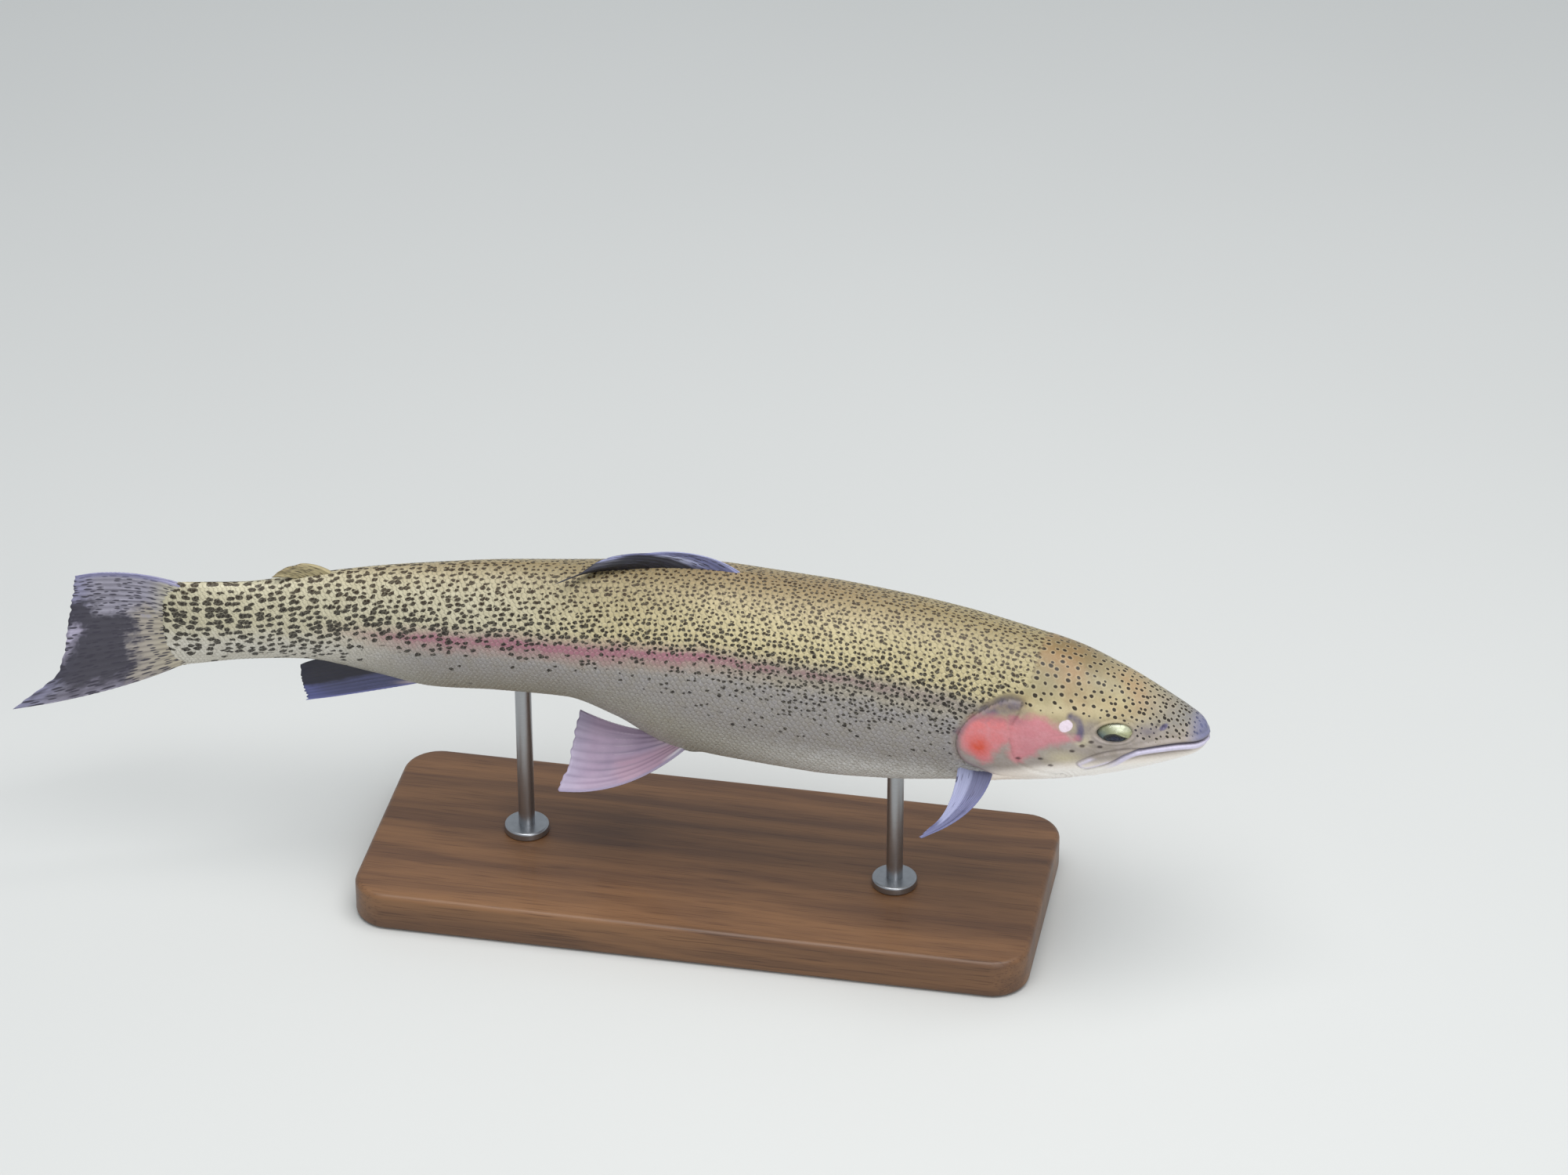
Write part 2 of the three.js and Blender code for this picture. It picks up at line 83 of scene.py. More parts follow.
# the stripe's middle and the pale belly's upper limit, as (s, z)
STRIPE_LINE = np.array([(96, 17), (120, 21.5), (142, 22.9), (165, 24.5), (214, 24.5), (233, 25),
                        (250, 22.3), (275, 19.2), (295, 16), (334, 13.3), (370, 9.5), (430, 4),
                        (502, 1)])
PALE_LINE = np.array([(0, -4), (60, -8), (120, -17.6), (196, -16.7), (234, -11.8), (275, -1.9),
                      (315, -3), (370, -9), (420, -12), (470, -16), (502, -19)])
# cells of the spots' pattern along the fish: s, length and height of a cell
BODY_CELLS = np.array([(78, 3.2, 2.5), (120, 3.0, 2.4), (200, 2.9, 2.3), (280, 3.2, 2.4),
                       (340, 3.8, 2.6), (400, 4.4, 2.8), (450, 5.0, 3.0), (512, 5.4, 3.3)])
HEAD_CELLS = np.array([(-3, 2.4, 2.3), (20, 2.8, 2.6), (40, 3.5, 3.2), (60, 4.4, 3.9), (116, 4.9, 4.1)])
# where scales begin, as (z, s) up the side of the fish
SCALE_FRONT = np.array([(-60, 101), (-34, 100), (-24, 98.5), (-20.3, 99), (-17.5, 104), (-11, 112),
                        (0, 113.4), (10.5, 109.2), (18, 101.5), (21.5, 99), (26, 91), (30, 80),
                        (60, 76)])

# fin rays from the front of each fin to its rear: root, middle and tip, as (s, y, z)
DORSAL_RAYS = [[(221, 0, 48.5), (238, -1, 66.5), (278, -3, 56.5)],
               [(240, 0, 48), (262, -2, 62.5), (293, -6, 53.5)],
               [(264, 0, 46.5), (281, -5, 55), (302, -12, 48.5)],
               [(289, 0, 43.5), (299, -7, 49), (314, -17.5, 43.8)]]
ADIPOSE_RAYS = [[(422, 0, 25), (430, 0, 33), (441, -0.5, 33)],
                [(430, 0, 23.5), (440, 0, 31), (450, -1.5, 30)],
                [(437, 0, 22.5), (446, 0, 27), (455, -3, 26.5)]]
ANAL_RAYS = [[(372, 0, -25.5), (404, 0, -38), (442, 0, -45)],
             [(390, 0, -24), (416, 0, -33), (443, 0, -39)],
             [(408, 0, -21), (427, 0, -28), (444, 0, -32)],
             [(425, 0, -18), (437, 0, -22), (444, 0, -25)]]
CAUDAL_RAYS = [[(498, 0, 21.5), (524, 0, 33), (549, 0, 29.5)],
               [(500, 0, 11), (526, 0, 17), (552, 0, 17)],
               [(501, 0, 0), (526, 0, 0), (555, 0, -1)],
               [(500, 0, -12), (530, 0, -18), (560, 0, -22)],
               [(498, 0, -22), (530, 0, -38), (584, 0, -43)]]
PELVIC_RAYS = [[(248, -12, -40.5), (275, -27.5, -65.5), (309, -41, -57)],
               [(252, -11, -40.5), (284, -23, -62), (306.5, -31, -49.5)],
               [(256, -10, -39.5), (285, -15.5, -49), (306, -19, -42)],
               [(261, -8, -38.5), (283, -8.5, -41), (304.5, -7, -31.5)]]
PECTORAL_RAYS = [[(97, -17, -21), (94, -43.5, -31), (117, -76, -27.5)],
                 [(102, -19, -20), (97.5, -43.5, -30.5), (118, -74, -28.5)],
                 [(107, -21, -19), (102.5, -44.5, -30.5), (117.5, -70, -29)],
                 [(112, -23, -17), (108, -46.5, -30), (115, -64, -28.5)]]
# how far the flesh swells round the fins' roots, as (rays, width, height)
ROOT_SWELLINGS = [(DORSAL_RAYS, 3.5, 0.9), (ANAL_RAYS, 3.5, 0.9), (PELVIC_RAYS, 4.5, 1.3),
                  (PECTORAL_RAYS, 4.5, 1.2), (ADIPOSE_RAYS, 3.0, 0.6)]


# ---- curves and the body's form

def smooth_through(points):
    """The smooth curve through (x, y) points that never overshoots them, as a function of x."""
    xs, ys = np.asarray(points, float).T
    gaps = np.diff(xs)
    slopes = np.diff(ys) / gaps
    before = 2 * gaps[1:] + gaps[:-1]
    after = gaps[1:] + 2 * gaps[:-1]
    climbing = slopes[:-1] * slopes[1:] > 0
    safe = np.where(climbing, 1.0, 0.0)
    inner = safe * (before + after) / (
        before / np.where(climbing, slopes[:-1], 1.0) + after / np.where(climbing, slopes[1:], 1.0))
    tangents = np.concatenate([slopes[:1], inner, slopes[-1:]])

    def at(x):
        x = np.asarray(x, float)
        i = np.clip(np.searchsorted(xs, x, side="right") - 1, 0, len(xs) - 2)
        t = (x - xs[i]) / gaps[i]
        start = (1 + 2 * t) * (1 - t) ** 2 * ys[i] + t * (1 - t) ** 2 * gaps[i] * tangents[i]
        end = t * t * (3 - 2 * t) * ys[i + 1] + t * t * (t - 1) * gaps[i] * tangents[i + 1]
        return start + end
    return at


# heights of back and belly, half width, and the height at which the body is widest, at s
back_at, belly_at, half_at, wide_at = (
    smooth_through(SECTIONS[:, (0, column)]) for column in (1, 2, 3, 4))
turn_at = smooth_through(TURNS)
stripe_at = smooth_through(STRIPE_LINE)
pale_at = smooth_through(PALE_LINE)
scale_front_at = smooth_through(SCALE_FRONT)


def heading_at(s):
    """Heading of the spine, in radians to the fish's left on its way back."""
    return np.radians(turn_at(np.clip(s, 0, TURNS[-1, 0])))


SPINE_S = np.arange(0, SPINE_END + 1)
SPINE_X = JAW_TIP[0] - np.concatenate([[0], np.cumsum(np.cos(heading_at(SPINE_S[:-1] + 0.5)))])
SPINE_Y = JAW_TIP[1] + np.concatenate([[0], np.cumsum(np.sin(heading_at(SPINE_S[:-1] + 0.5)))])


def bend(points):
    """Straight-fish places in millimetres to the row's frame in metres."""
    points = np.asarray(points, float)
    s, y, z = points[..., 0], points[..., 1], points[..., 2]
    heading = heading_at(s)
    ahead = np.minimum(s, 0)
    x = np.interp(s, SPINE_S, SPINE_X) - ahead * np.cos(heading)
    side = np.interp(s, SPINE_S, SPINE_Y) + ahead * np.sin(heading)
    placed = (x + y * np.sin(heading), side + y * np.cos(heading), z + AXIS_HEIGHT)
    return np.stack(placed, -1) * MM


def body_point(s, t):
    """The solids' surface at s, t radians round from the back by the right flank."""
    wide = wide_at(s)
    rise = np.where(np.cos(t) > 0, back_at(s) - wide, wide - belly_at(s))
    return np.stack([s + 0 * t, -half_at(s) * np.sin(t), wide + rise * np.cos(t)], -1)


def body_normal(s, t):
    """Outward unit normal of the solids' surface."""
    step = 1e-3
    around = body_point(s, t + step) - body_point(s, t - step)
    lengthwise = (body_point(np.minimum(s + step, TAIL_END), t)
                  - body_point(np.maximum(s - step, SNOUT_END), t))
    normal = np.cross(around, lengthwise)
    return normal / np.maximum(np.linalg.norm(normal, axis=-1, keepdims=True), 1e-12)


# ---- shaping helpers

def ramp(low, high, x):
    """Goes smoothly from 0 at low to 1 at high."""
    t = np.clip((x - low) / (high - low), 0, 1)
    return t * t * (3 - 2 * t)


def fade(low, high, x):
    """Goes smoothly from 1 at low to 0 at high."""
    return 1 - ramp(low, high, x)


def bump(x, width):
    """A smooth hump of height 1 round zero."""
    return np.exp(-(x / width) ** 2)


def rounded(points, closed=False, parts=8):
    """Points along a smooth curve through a few corners."""
    corners = np.asarray(points, float)
    count = len(corners)
    if closed:
        padded = np.concatenate([corners[-1:], corners, corners[:2]])
        spans = count
    else:
        padded = np.concatenate([2 * corners[:1] - corners[1:2], corners, 2 * corners[-1:] - corners[-2:-1]])
        spans = count - 1
    t = np.linspace(0, 1, parts, endpoint=False)[:, None]
    path = []
    for i in range(spans):
        a, b, c, d = padded[i:i + 4]
        path.append(0.5 * (2 * b + (c - a) * t + (2 * a - 5 * b + 4 * c - d) * t ** 2
                           + (3 * b - a - 3 * c + d) * t ** 3))
    path = np.concatenate(path)
    return path if closed else np.concatenate([path, corners[-1:]])


def from_path(path, u, v):
    """Distance from points to a path, and which side: positive to the left of its direction."""
    a, b = path[:-1], path[1:]
    run = b - a
    length2 = (run ** 2).sum(-1)
    best = np.full(np.shape(u), 1e9)
    side = np.zeros(np.shape(u))
    for (ax, ay), (rx, ry), squared in zip(a, run, length2):
        k = np.clip(((u - ax) * rx + (v - ay) * ry) / squared, 0, 1)
        du, dv = u - ax - k * rx, v - ay - k * ry
        distance = np.hypot(du, dv)
        nearer = distance < best
        best = np.where(nearer, distance, best)
        side = np.where(nearer, np.sign(rx * dv - ry * du), side)
    return best, side


def from_corners(corners, u, v):
    """Distance from points to a smooth line through a few corners."""
    return from_path(rounded(corners), u, v)[0]


def inside(outline, u, v):
    """Signed distance to a closed outline, positive inside."""
    path = np.concatenate([outline, outline[:1]])
    distance, _ = from_path(path, u, v)
    within = np.zeros(np.shape(u), bool)
    for (ax, ay), (bx, by) in zip(path[:-1], path[1:]):
        if ay != by:
            crosses = ((ay > v) != (by > v)) & (u < (bx - ax) * (v - ay) / (by - ay) + ax)
            within ^= crosses
    return np.where(within, distance, -distance)


mouth_path = rounded(MOUTH)
maxilla_outline = rounded(MAXILLA, closed=True)
gill_outline = rounded(GILL_COVER, closed=True)
gill_rear_edge = rounded(GILL_COVER[:10])
cheek_path = rounded(CHEEK_EDGE)


# ---- the skin's relief

def jaw_relief(s, y, z):
    """Mouth line, lips, maxilla and the underside of the lower jaw."""
    distance, side = from_path(mouth_path, s, z)
    height = -2.0 * bump(distance, 0.5) * fade(50, 54, s)
    lower_lip = 0.5 * bump(distance - 1.6, 1.2) - 0.5 * bump(distance - 3.7, 0.5) * ramp(2, 6, s)
    upper_lip = 0.45 * bump(distance - 1.4, 1.1) - 0.15 * bump(distance - 3.4, 0.7)
    height += np.where(side < 0, lower_lip, upper_lip) * fade(27, 38, s)
    over = inside(maxilla_outline, s, z)
    height += 0.75 * ramp(-0.3, 0.7, over) - 0.45 * bump(over + 0.5, 0.5) - 0.2 * bump(over - 3.2, 1.2)
    # the jaw's two edges seen from below, and the keel between them
    rami = np.abs(np.abs(y) - 0.34 * (s - 5))
    height -= 0.7 * bump(rami, 0.9) * (z < -3) * ramp(7, 14, s) * fade(46, 58, s)
    height += 0.5 * bump(y, 2.2) * (z < -3) * ramp(6, 12, s) * fade(26, 40, s)
    return height


def eye_relief(s, z):
    """The pit for the eyeball, its rim and the fold round it; the rim of the opening is at 1."""
    reach = np.hypot((s - ORBIT["s"]) / ORBIT["along"], (z - ORBIT["z"]) / ORBIT["high"])
    height = -0.6 * fade(0.94, 1.10, reach) - 5.0 * fade(0.86, 0.97, reach)
    return height + 0.30 * bump(reach - 1.13, 0.10) - 0.25 * bump(reach - 1.32, 0.09)


def nose_relief(s, z):
    """Two nostrils with a flap between them, in a shallow dish."""
    height = -0.3 * bump(np.hypot(s - 18.6, z - 13.1), 3.0)
    for at_s, at_z in NOSTRILS:
        height = height - 1.1 * bump(np.hypot((s - at_s) * 1.2, z - at_z), 0.75)
    return height + 0.45 * bump(np.hypot((s - 18.6) * 2.0, z - 13.1), 0.9)


def cheek_relief(s, y, z):
    """Cheek plates, the gill cover's raised rear edge and the rays under it."""
    distance, side = from_path(cheek_path, s, z)
    height = -0.45 * bump(distance, 0.7) + np.where(side < 0, 0.35 * bump(distance - 2.0, 2.2), 0)
    cover = inside(gill_outline, s, z)
    edge, _ = from_path(gill_rear_edge, s, z)
    rear = bump(edge, 30) * (s > 60)
    height += np.where(cover > 0, 0.85 * ramp(-0.2, 1.3, edge) * (1 - 0.5 * ramp(2, 16, edge)), 0)
    height += np.where(cover > 0, 0, -0.9 * bump(edge - 1.0, 1.2) * rear)
    low_seam = [(86.5, -7), (96, -10.5), (104, -9.5), (110, -5)]
    height -= 0.22 * bump(from_corners(low_seam, s, z), 0.6)
    # rays of the gill membrane, under the cover
    under = (cover <= 0) & (z < -14) & (s > 52) & (s < 108) & (np.abs(y) > 3)
    shown = ramp(0.5, 2, edge) * fade(11, 14, edge) * ramp(54, 62, s) * fade(98, 106, s)
    height += np.where(under, 0.28 * np.sin(2 * np.pi * edge / 2.3) * shown, 0)
    # the fold on each side of the throat
    throat = np.abs(np.abs(y) - 2.0 - 0.16 * (s - 46))
    height -= 0.8 * bump(throat, 0.8) * (z < -10) * ramp(44, 52, s) * fade(98, 106, s)
    # the plates under and behind the eye
    under_eye = [(27, 4.5), (36, 2.2), (47, 2.6), (56, 6.5), (61, 13), (60, 18)]
    height -= 0.22 * bump(from_corners(under_eye, s, z), 0.7)
    return height - 0.14 * bump(from_corners([(47, 10), (56, 9.5), (66, 8)], s, z), 0.6)


def root_swelling(s, y, z):
    """Flesh that swells round the root of each fin."""
    height = np.zeros(np.shape(s))
    side = -np.abs(y)
    for rays, width, rise in ROOT_SWELLINGS:
        surface = [body_surface_near(ray[0]) for ray in rays]
        nearest = np.full(np.shape(s), 1e9)
        for a, b in zip(surface[:-1], surface[1:]):
            run = b - a
            offset = np.stack([s, side, z], -1) - a
            k = np.clip((offset * run).sum(-1) / (run ** 2).sum(), 0, 1)
            nearest = np.minimum(nearest, np.linalg.norm(offset - k[..., None] * run, axis=-1))
        height += rise * bump(nearest, width)
    return height


def body_surface_near(root):
    """The place on the body's surface straight out from a fin ray's root."""
    s, y, z = root
    wide = float(wide_at(s))
    rise = float(back_at(s)) - wide if z > wide else wide - float(belly_at(s))
    t = math.atan2(-y / float(half_at(s)), (z - wide) / rise)
    return body_point(np.array(float(s)), np.array(t))


def relief(s, t):
    """How far the skin stands over the solids' surface, in millimetres."""
    _, y, z = np.moveaxis(body_point(s, t), -1, 0)
    head = jaw_relief(s, y, z) + eye_relief(s, z) + nose_relief(s, z) + cheek_relief(s, y, z)
    height = np.where(s < HEAD_TO, head, 0) + root_swelling(s, y, z)
    return height - SKIN_INSET * ramp(-2, 3, s - scale_front_at(z))


# ---- meshes

def linked(name, data):
    """An object at the origin, in the scene."""
    obj = bpy.data.objects.new(name, data)
    bpy.context.collection.objects.link(obj)
    return obj


def mesh_object(name, points, faces, smooth=True, attributes=None):
    """A mesh object at the origin; attributes hold one number or three for each point."""
    mesh = bpy.data.meshes.new(name)
    mesh.from_pydata(np.asarray(points).tolist(), [], faces)
    mesh.polygons.foreach_set("use_smooth", [smooth] * len(mesh.polygons))
    for key, values in (attributes or {}).items():
        values = np.asarray(values, np.float32)
        kind, field = ("FLOAT", "value") if values.ndim == 1 else ("FLOAT_VECTOR", "vector")
        mesh.attributes.new(key, kind, "POINT").data.foreach_set(field, values.ravel())
    mesh.update()
    return linked(name, mesh)


def finished_body(name, points, faces, finish, **more):
    """A closed mesh object with its faces outward and its finish on."""
    obj = mesh_object(name, points, faces, **more)
    work = bmesh.new()
    work.from_mesh(obj.data)
    bmesh.ops.recalc_face_normals(work, faces=work.faces)
    work.to_mesh(obj.data)
    work.free()
    obj.data.materials.append(finish)
    return obj


def circle(sides):
    """Points of a circle of radius 1."""
    turn = np.linspace(0, 2 * np.pi, sides, endpoint=False)
    return np.stack([np.cos(turn), np.sin(turn)], -1)


def tube_faces(rings, sides):
    """Quads of a closed tube of rings, then a fan at each end, with two more points for them."""
    i, j = np.meshgrid(np.arange(rings - 1), np.arange(sides), indexing="ij")
    k = (j + 1) % sides
    quads = np.stack([i * sides + j, i * sides + k, (i + 1) * sides + k, (i + 1) * sides + j], -1)
    first, last, start = rings * sides, rings * sides + 1, (rings - 1) * sides
    ends = [(first, (n + 1) % sides, n) for n in range(sides)]
    ends += [(last, start + n, start + (n + 1) % sides) for n in range(sides)]
    return quads.reshape(-1, 4).tolist() + ends


# ---- markings worked out on the form

# the head's dots keep above this line, as (s, z)
DOTS_FROM = np.array([(0, 7.5), (12, 6.2), (28, 6.0), (32, 15), (46, 16.5), (60, 19), (79, 19.5),
                      (82, 24.5), (92, 25), (102, 17.5), (110, 10)])
# the pale jaw and cheek lie under this line, and a dusky edge runs along the lobe's top
CHEEK_PALE_LINE = np.array([(0, 4), (26, 1.5), (40, -1.5), (60, -4), (80, -10), (100, -15), (120, -20)])
LOBE_TOP = np.array([(78, 19), (92, 17.5), (104, 13), (110, 5)])
# single dark marks on the cheek, as (s, z)
FRECKLES = [(57.6, 0.3), (72.3, -6.1), (67.9, -10.4), (82.6, -6.8), (49, 6.0), (53, 3.6), (45, 3.4)]
# outlines of the two red lobes and of the violet crest over them, as (s, z); the crest is painted shade at
# the top corner of the gill opening
GILL_LOBE = rounded([(109.9, 1.1), (108.9, 8.2), (105.2, 13.6), (98, 16.5), (87.6, 16.5), (85, 10),
                     (86, 2), (91, -2), (95, -9.3), (99, -13), (103.6, -9.3), (108, -4.8)], closed=True)
CHEEK_LOBE = rounded([(89, 15.5), (80.1, 17.9), (71, 17.6), (64.1, 13.4), (59.1, 9.5), (54, 7.4),
                      (57, 5.2), (62.9, 3.7), (70.1, 0.6), (75.1, -5), (81.7, -10.1), (85.8, -8),
                      (88, 0)], closed=True)
GILL_CREST_SHADE = rounded([(103.6, 16.8), (98.8, 21.6), (90.5, 25.4), (84.0, 25.2), (81.0, 22.0),
                      (82.8, 18.4), (88.6, 16.8), (97.0, 15.0)], closed=True)
# the table of ways round the body: rows along the fish, and steps from back to belly
MARK_ROWS = 1200
GIRTH_STEPS = 181


def half_girth(s):
    """Angles from back to belly, and at each s the distance along the skin to each and its height."""
    t = np.linspace(0, np.pi, GIRTH_STEPS)
    ring = body_point(np.asarray(s, float)[..., None], t)
    steps = np.linalg.norm(np.diff(ring[..., 1:], axis=-2), axis=-1)
    arc = np.concatenate([np.zeros(steps.shape[:-1] + (1,)), np.cumsum(steps, -1)], -1)
    return t, arc, ring[..., 2]


def markings(s, t):
    """Named values that the paint follows, at places of the body's surface."""
    _, y, z = np.moveaxis(body_point(s, t), -1, 0)
    rows = np.linspace(SNOUT_END, TAIL_END, MARK_ROWS)
    _, arcs, levels = half_girth(rows)

    def over_line(line_at):
        """Distance along the skin up from a line on the flank."""
        at_row = [np.interp(-line_at(a), -b, c) for a, b, c in zip(rows, levels, arcs)]
        return np.interp(s, rows, at_row) - arc

    # how far each place is from the back along the skin, read between the rows' steps
    from_back = np.abs((t + np.pi) % (2 * np.pi) - np.pi)
    row = np.interp(s, rows, np.arange(MARK_ROWS))
    low = np.clip(row.astype(int), 0, MARK_ROWS - 2)
    part = row - low
    column = from_back / np.pi * (GIRTH_STEPS - 1)
    left = np.clip(column.astype(int), 0, GIRTH_STEPS - 2)
    across = column - left
    arc = ((arcs[low, left] * (1 - across) + arcs[low, left + 1] * across) * (1 - part)
           + (arcs[low + 1, left] * (1 - across) + arcs[low + 1, left + 1] * across) * part)
    side = np.where(y > 0, 1.0, -1.0)
    scaled = ramp(-1.0, 2.0, s - scale_front_at(z))
    dotted = ramp(-1.2, 1.8, z - np.interp(s, *DOTS_FROM.T))
    return {
        "fish": np.stack([s, arc * side, z], -1),
        "bands": np.stack([over_line(stripe_at), over_line(pale_at), scaled], -1),
        "body_spots": spot_cells(BODY_CELLS, s, arc * side, 0 * s),
        "head_spots": spot_cells(HEAD_CELLS, s, arc * side, dotted),
        **head_marks(s, z),
    }


def spot_cells(cells, s, around, third):
    """Coordinates in which a pattern's spots lie one unit apart, and a third value."""
    first, last, step = cells[0, 0], cells[-1, 0], 0.5
    fine = np.arange(first, last + 1.0, step)
    length = smooth_through(cells[:, :2])(np.minimum(fine, last))
    height = smooth_through(cells[:, ::2])(np.clip(s, first, last))
    along = np.interp(s, fine, np.cumsum(step / length))
    return np.stack([along, around / height, third], -1)


def head_marks(s, z):
    """Where the head's colours lie: distances in millimetres for the red lobes, else from 0 to 1."""
    cover = inside(gill_outline, s, z)
    edge, _ = from_path(gill_rear_edge, s, z)
    lobes = np.maximum(inside(GILL_LOBE, s, z), inside(CHEEK_LOBE, s, z))
    core = fade(0.1, 1.0, np.hypot((s - 101.0) / 7.0, (z + 1.5) / 9))
    pale = ramp(0, 8, np.interp(s, *CHEEK_PALE_LINE.T) - z) * fade(100, 135, s)
    distance, side = from_path(mouth_path, s, z)
    lip = np.where(side < 0, fade(2.6, 4.0, distance), 0) * fade(34, 46, s)
    over = inside(maxilla_outline, s, z)
    maxilla_rim = bump(over - 0.8, 0.9) * ramp(-1.5, 1.0, -4.5 + 0.22 * (s - 45) - z)
    lip = np.maximum(lip, 0.8 * maxilla_rim * ramp(33, 40, s))
    snout = fade(0, 9, s) * ramp(-1, 2, z - 4.2)
    # painted shade: the dark violet crest at the top corner of the gill opening
    crest_shade = 0.8 * ramp(-2.2, 3.0, inside(GILL_CREST_SHADE, s, z))
    above_lobe = 0.45 * bump(z - np.interp(s, *LOBE_TOP.T), 2.4) * ramp(76, 82, s)
    # violet: round the nostrils, behind the eye, the crest, which is painted shade at the top corner of the
    # gill opening, and a haze before and behind the eye
    smudge = fade(0.6, 1.3, np.hypot((s - 17.5) / 1.7 + (z - 12.7) / 4, (z - 12.7) / 1.5))
    behind_eye = from_corners([(59, 18), (55.5, 16), (54, 12), (54.6, 7.5)], s, z)
    haze = bump(np.hypot((s - 25) / 7, (z - 11.5) / 2.6), 1)
    haze = haze + bump(np.hypot((s - 50) / 4, (z - 14) / 3), 1)
    violet = np.maximum(0.95 * smudge, 0.85 * fade(0.5, 3.0, behind_eye))
    violet = np.maximum(np.maximum(violet, 0.4 * haze), np.maximum(crest_shade, above_lobe))
    blob = fade(0.75, 1.1, np.hypot((s - 60.9) / 3.4 + (z - 13.6) / 16, (z - 13.6) / 3.4))
    # painted shade in the furrows: behind the gill cover, in the gape, under the lip and round the maxilla
    lines = np.maximum(bump(np.where(cover > 0, 9.0, edge), 0.9) * (s > 60) * 0.8,
                       bump(distance, 0.7) * fade(51, 54, s))
    under_lip = np.where(side < 0, bump(distance - 4.0, 0.5), 0) * ramp(3, 6, s) * fade(28, 36, s)
    lines = np.maximum(lines, 0.4 * under_lip)
    lines = np.maximum(lines, 0.4 * bump(over + 0.4, 0.5) * ramp(26, 30, s))
    for at_s, at_z in FRECKLES:
        lines = np.maximum(lines, fade(0.6, 1.2, np.hypot((s - at_s) / 1.4, (z - at_z) / 0.95)))
    rim = np.where(cover > 0, bump(edge - 0.4, 1.5), 0) * ramp(88, 98, s) * (1 - 0.8 * crest_shade)
    return {
        "reds": np.stack([lobes, core, rim], -1),
        "pales": np.stack([pale, lip, blob], -1),
        "darks": np.stack([lines, violet, snout], -1),
    }


# ---- the skin of the fish

RING_COUNTS = {"head": 200, "gills": 80, "body": 130}
RINGS_TO = {"head": 70.0, "gills": 118.0}
SNOUT_CROWDING = 1.25
SKIN_SIDES = 240
FLANK_CROWDING = 0.24      # draws the skin's points together on the flanks


def skin_rings():
    """Distances back along the fish for the skin's rings, closest at the snout."""
    share = np.linspace(0, 1, RING_COUNTS["head"], endpoint=False) ** SNOUT_CROWDING
    head = SNOUT_END + (RINGS_TO["head"] - SNOUT_END) * share
    gills = np.linspace(RINGS_TO["head"], RINGS_TO["gills"], RING_COUNTS["gills"], endpoint=False)
    body = np.linspace(RINGS_TO["gills"], TAIL_END, RING_COUNTS["body"])
    return np.concatenate([head, gills, body])


def skin_point(s, t):
    """The finished skin's surface."""
    return body_point(s, t) + body_normal(s, t) * relief(s, t)[..., None]


def with_ends(rings):
    """Rings of three-part values in one row, then the middles of the first and last ring."""
    return np.concatenate([rings.reshape(-1, 3), [rings[0].mean(0), rings[-1].mean(0)]])


def make_skin(finish):
    """One closed skin from snout to tail root."""
    rings = skin_rings()
    even = np.linspace(0, 2 * np.pi, SKIN_SIDES, endpoint=False)
    s, t = np.meshgrid(rings, even + FLANK_CROWDING * np.sin(2 * even), indexing="ij")
    marks = {key: with_ends(values) for key, values in markings(s, t).items()}
    return finished_body("fish_skin", bend(with_ends(skin_point(s, t))),
                         tube_faces(len(rings), SKIN_SIDES), finish, attributes=marks)


# ---- building with nodes

def add_node(tree, kind, settings=None, inputs=None):
    """Adds a node, its settings first and then the values or links of its sockets."""
    node = tree.nodes.new(kind)
    for key, value in (settings or {}).items():
        setattr(node, key, value)
    for key, value in (inputs or {}).items():
        if isinstance(value, Value):
            value = value.socket
        if isinstance(value, bpy.types.NodeSocket):
            tree.links.new(value, node.inputs[key])
        else:
            node.inputs[key].default_value = value
    return node


class Tree:
    """A Geometry Nodes tree with named inputs."""

    def __init__(self, name, inputs):
        self.group = bpy.data.node_groups.new(name, "GeometryNodeTree")
        face = self.group.interface
        face.new_socket("Geometry", in_out="INPUT", socket_type="NodeSocketGeometry")
        self.keys = {}
        for label, kind in inputs.items():
            made = face.new_socket(label, in_out="INPUT", socket_type="NodeSocket" + kind)
            self.keys[label] = made.identifier
        face.new_socket("Geometry", in_out="OUTPUT", socket_type="NodeSocketGeometry")
        self.given = self.group.nodes.new("NodeGroupInput").outputs
        self.result = self.group.nodes.new("NodeGroupOutput").inputs[0]

    def node(self, kind, settings=None, inputs=None, output=0):
        """Any node, read at one of its outputs."""
        return add_node(self.group, kind, settings, inputs).outputs[output]

    def named(self, key, kind="FLOAT_VECTOR"):
        """A mesh attribute by name."""
        return self.node("GeometryNodeInputNamedAttribute", {"data_type": kind}, {"Name": key})

    def stored(self, geometry, key, value, kind, domain):
        """The geometry with one more attribute."""
        return self.node("GeometryNodeStoreNamedAttribute", {"data_type": kind, "domain": domain},
                         {"Geometry": geometry, "Name": key, "Value": value})

    def finish(self, geometry):
        """Ends the tree: instances made real, finish set, shaded smooth."""
        real = self.node("GeometryNodeRealizeInstances", inputs={"Geometry": geometry})
        smooth = self.node("GeometryNodeSetShadeSmooth", inputs={0: real})
        finished = self.node("GeometryNodeSetMaterial", inputs={
            "Geometry": smooth, "Material": self.given["Finish"]})
        self.group.links.new(finished, self.result)

    def grow(self, name, start, values):
        """Runs the tree on an object and keeps the result as a plain mesh object."""
        modifier = start.modifiers.new("grow", "NODES")
        modifier.node_group = self.group
        for label, value in values.items():
            modifier[self.keys[label]] = value
        depsgraph = bpy.context.evaluated_depsgraph_get()
        mesh = bpy.data.meshes.new_from_object(start.evaluated_get(depsgraph),
                                               preserve_all_data_layers=True, depsgraph=depsgraph)
        start.modifiers.remove(modifier)
        mesh.name = name
        return linked(name, mesh)


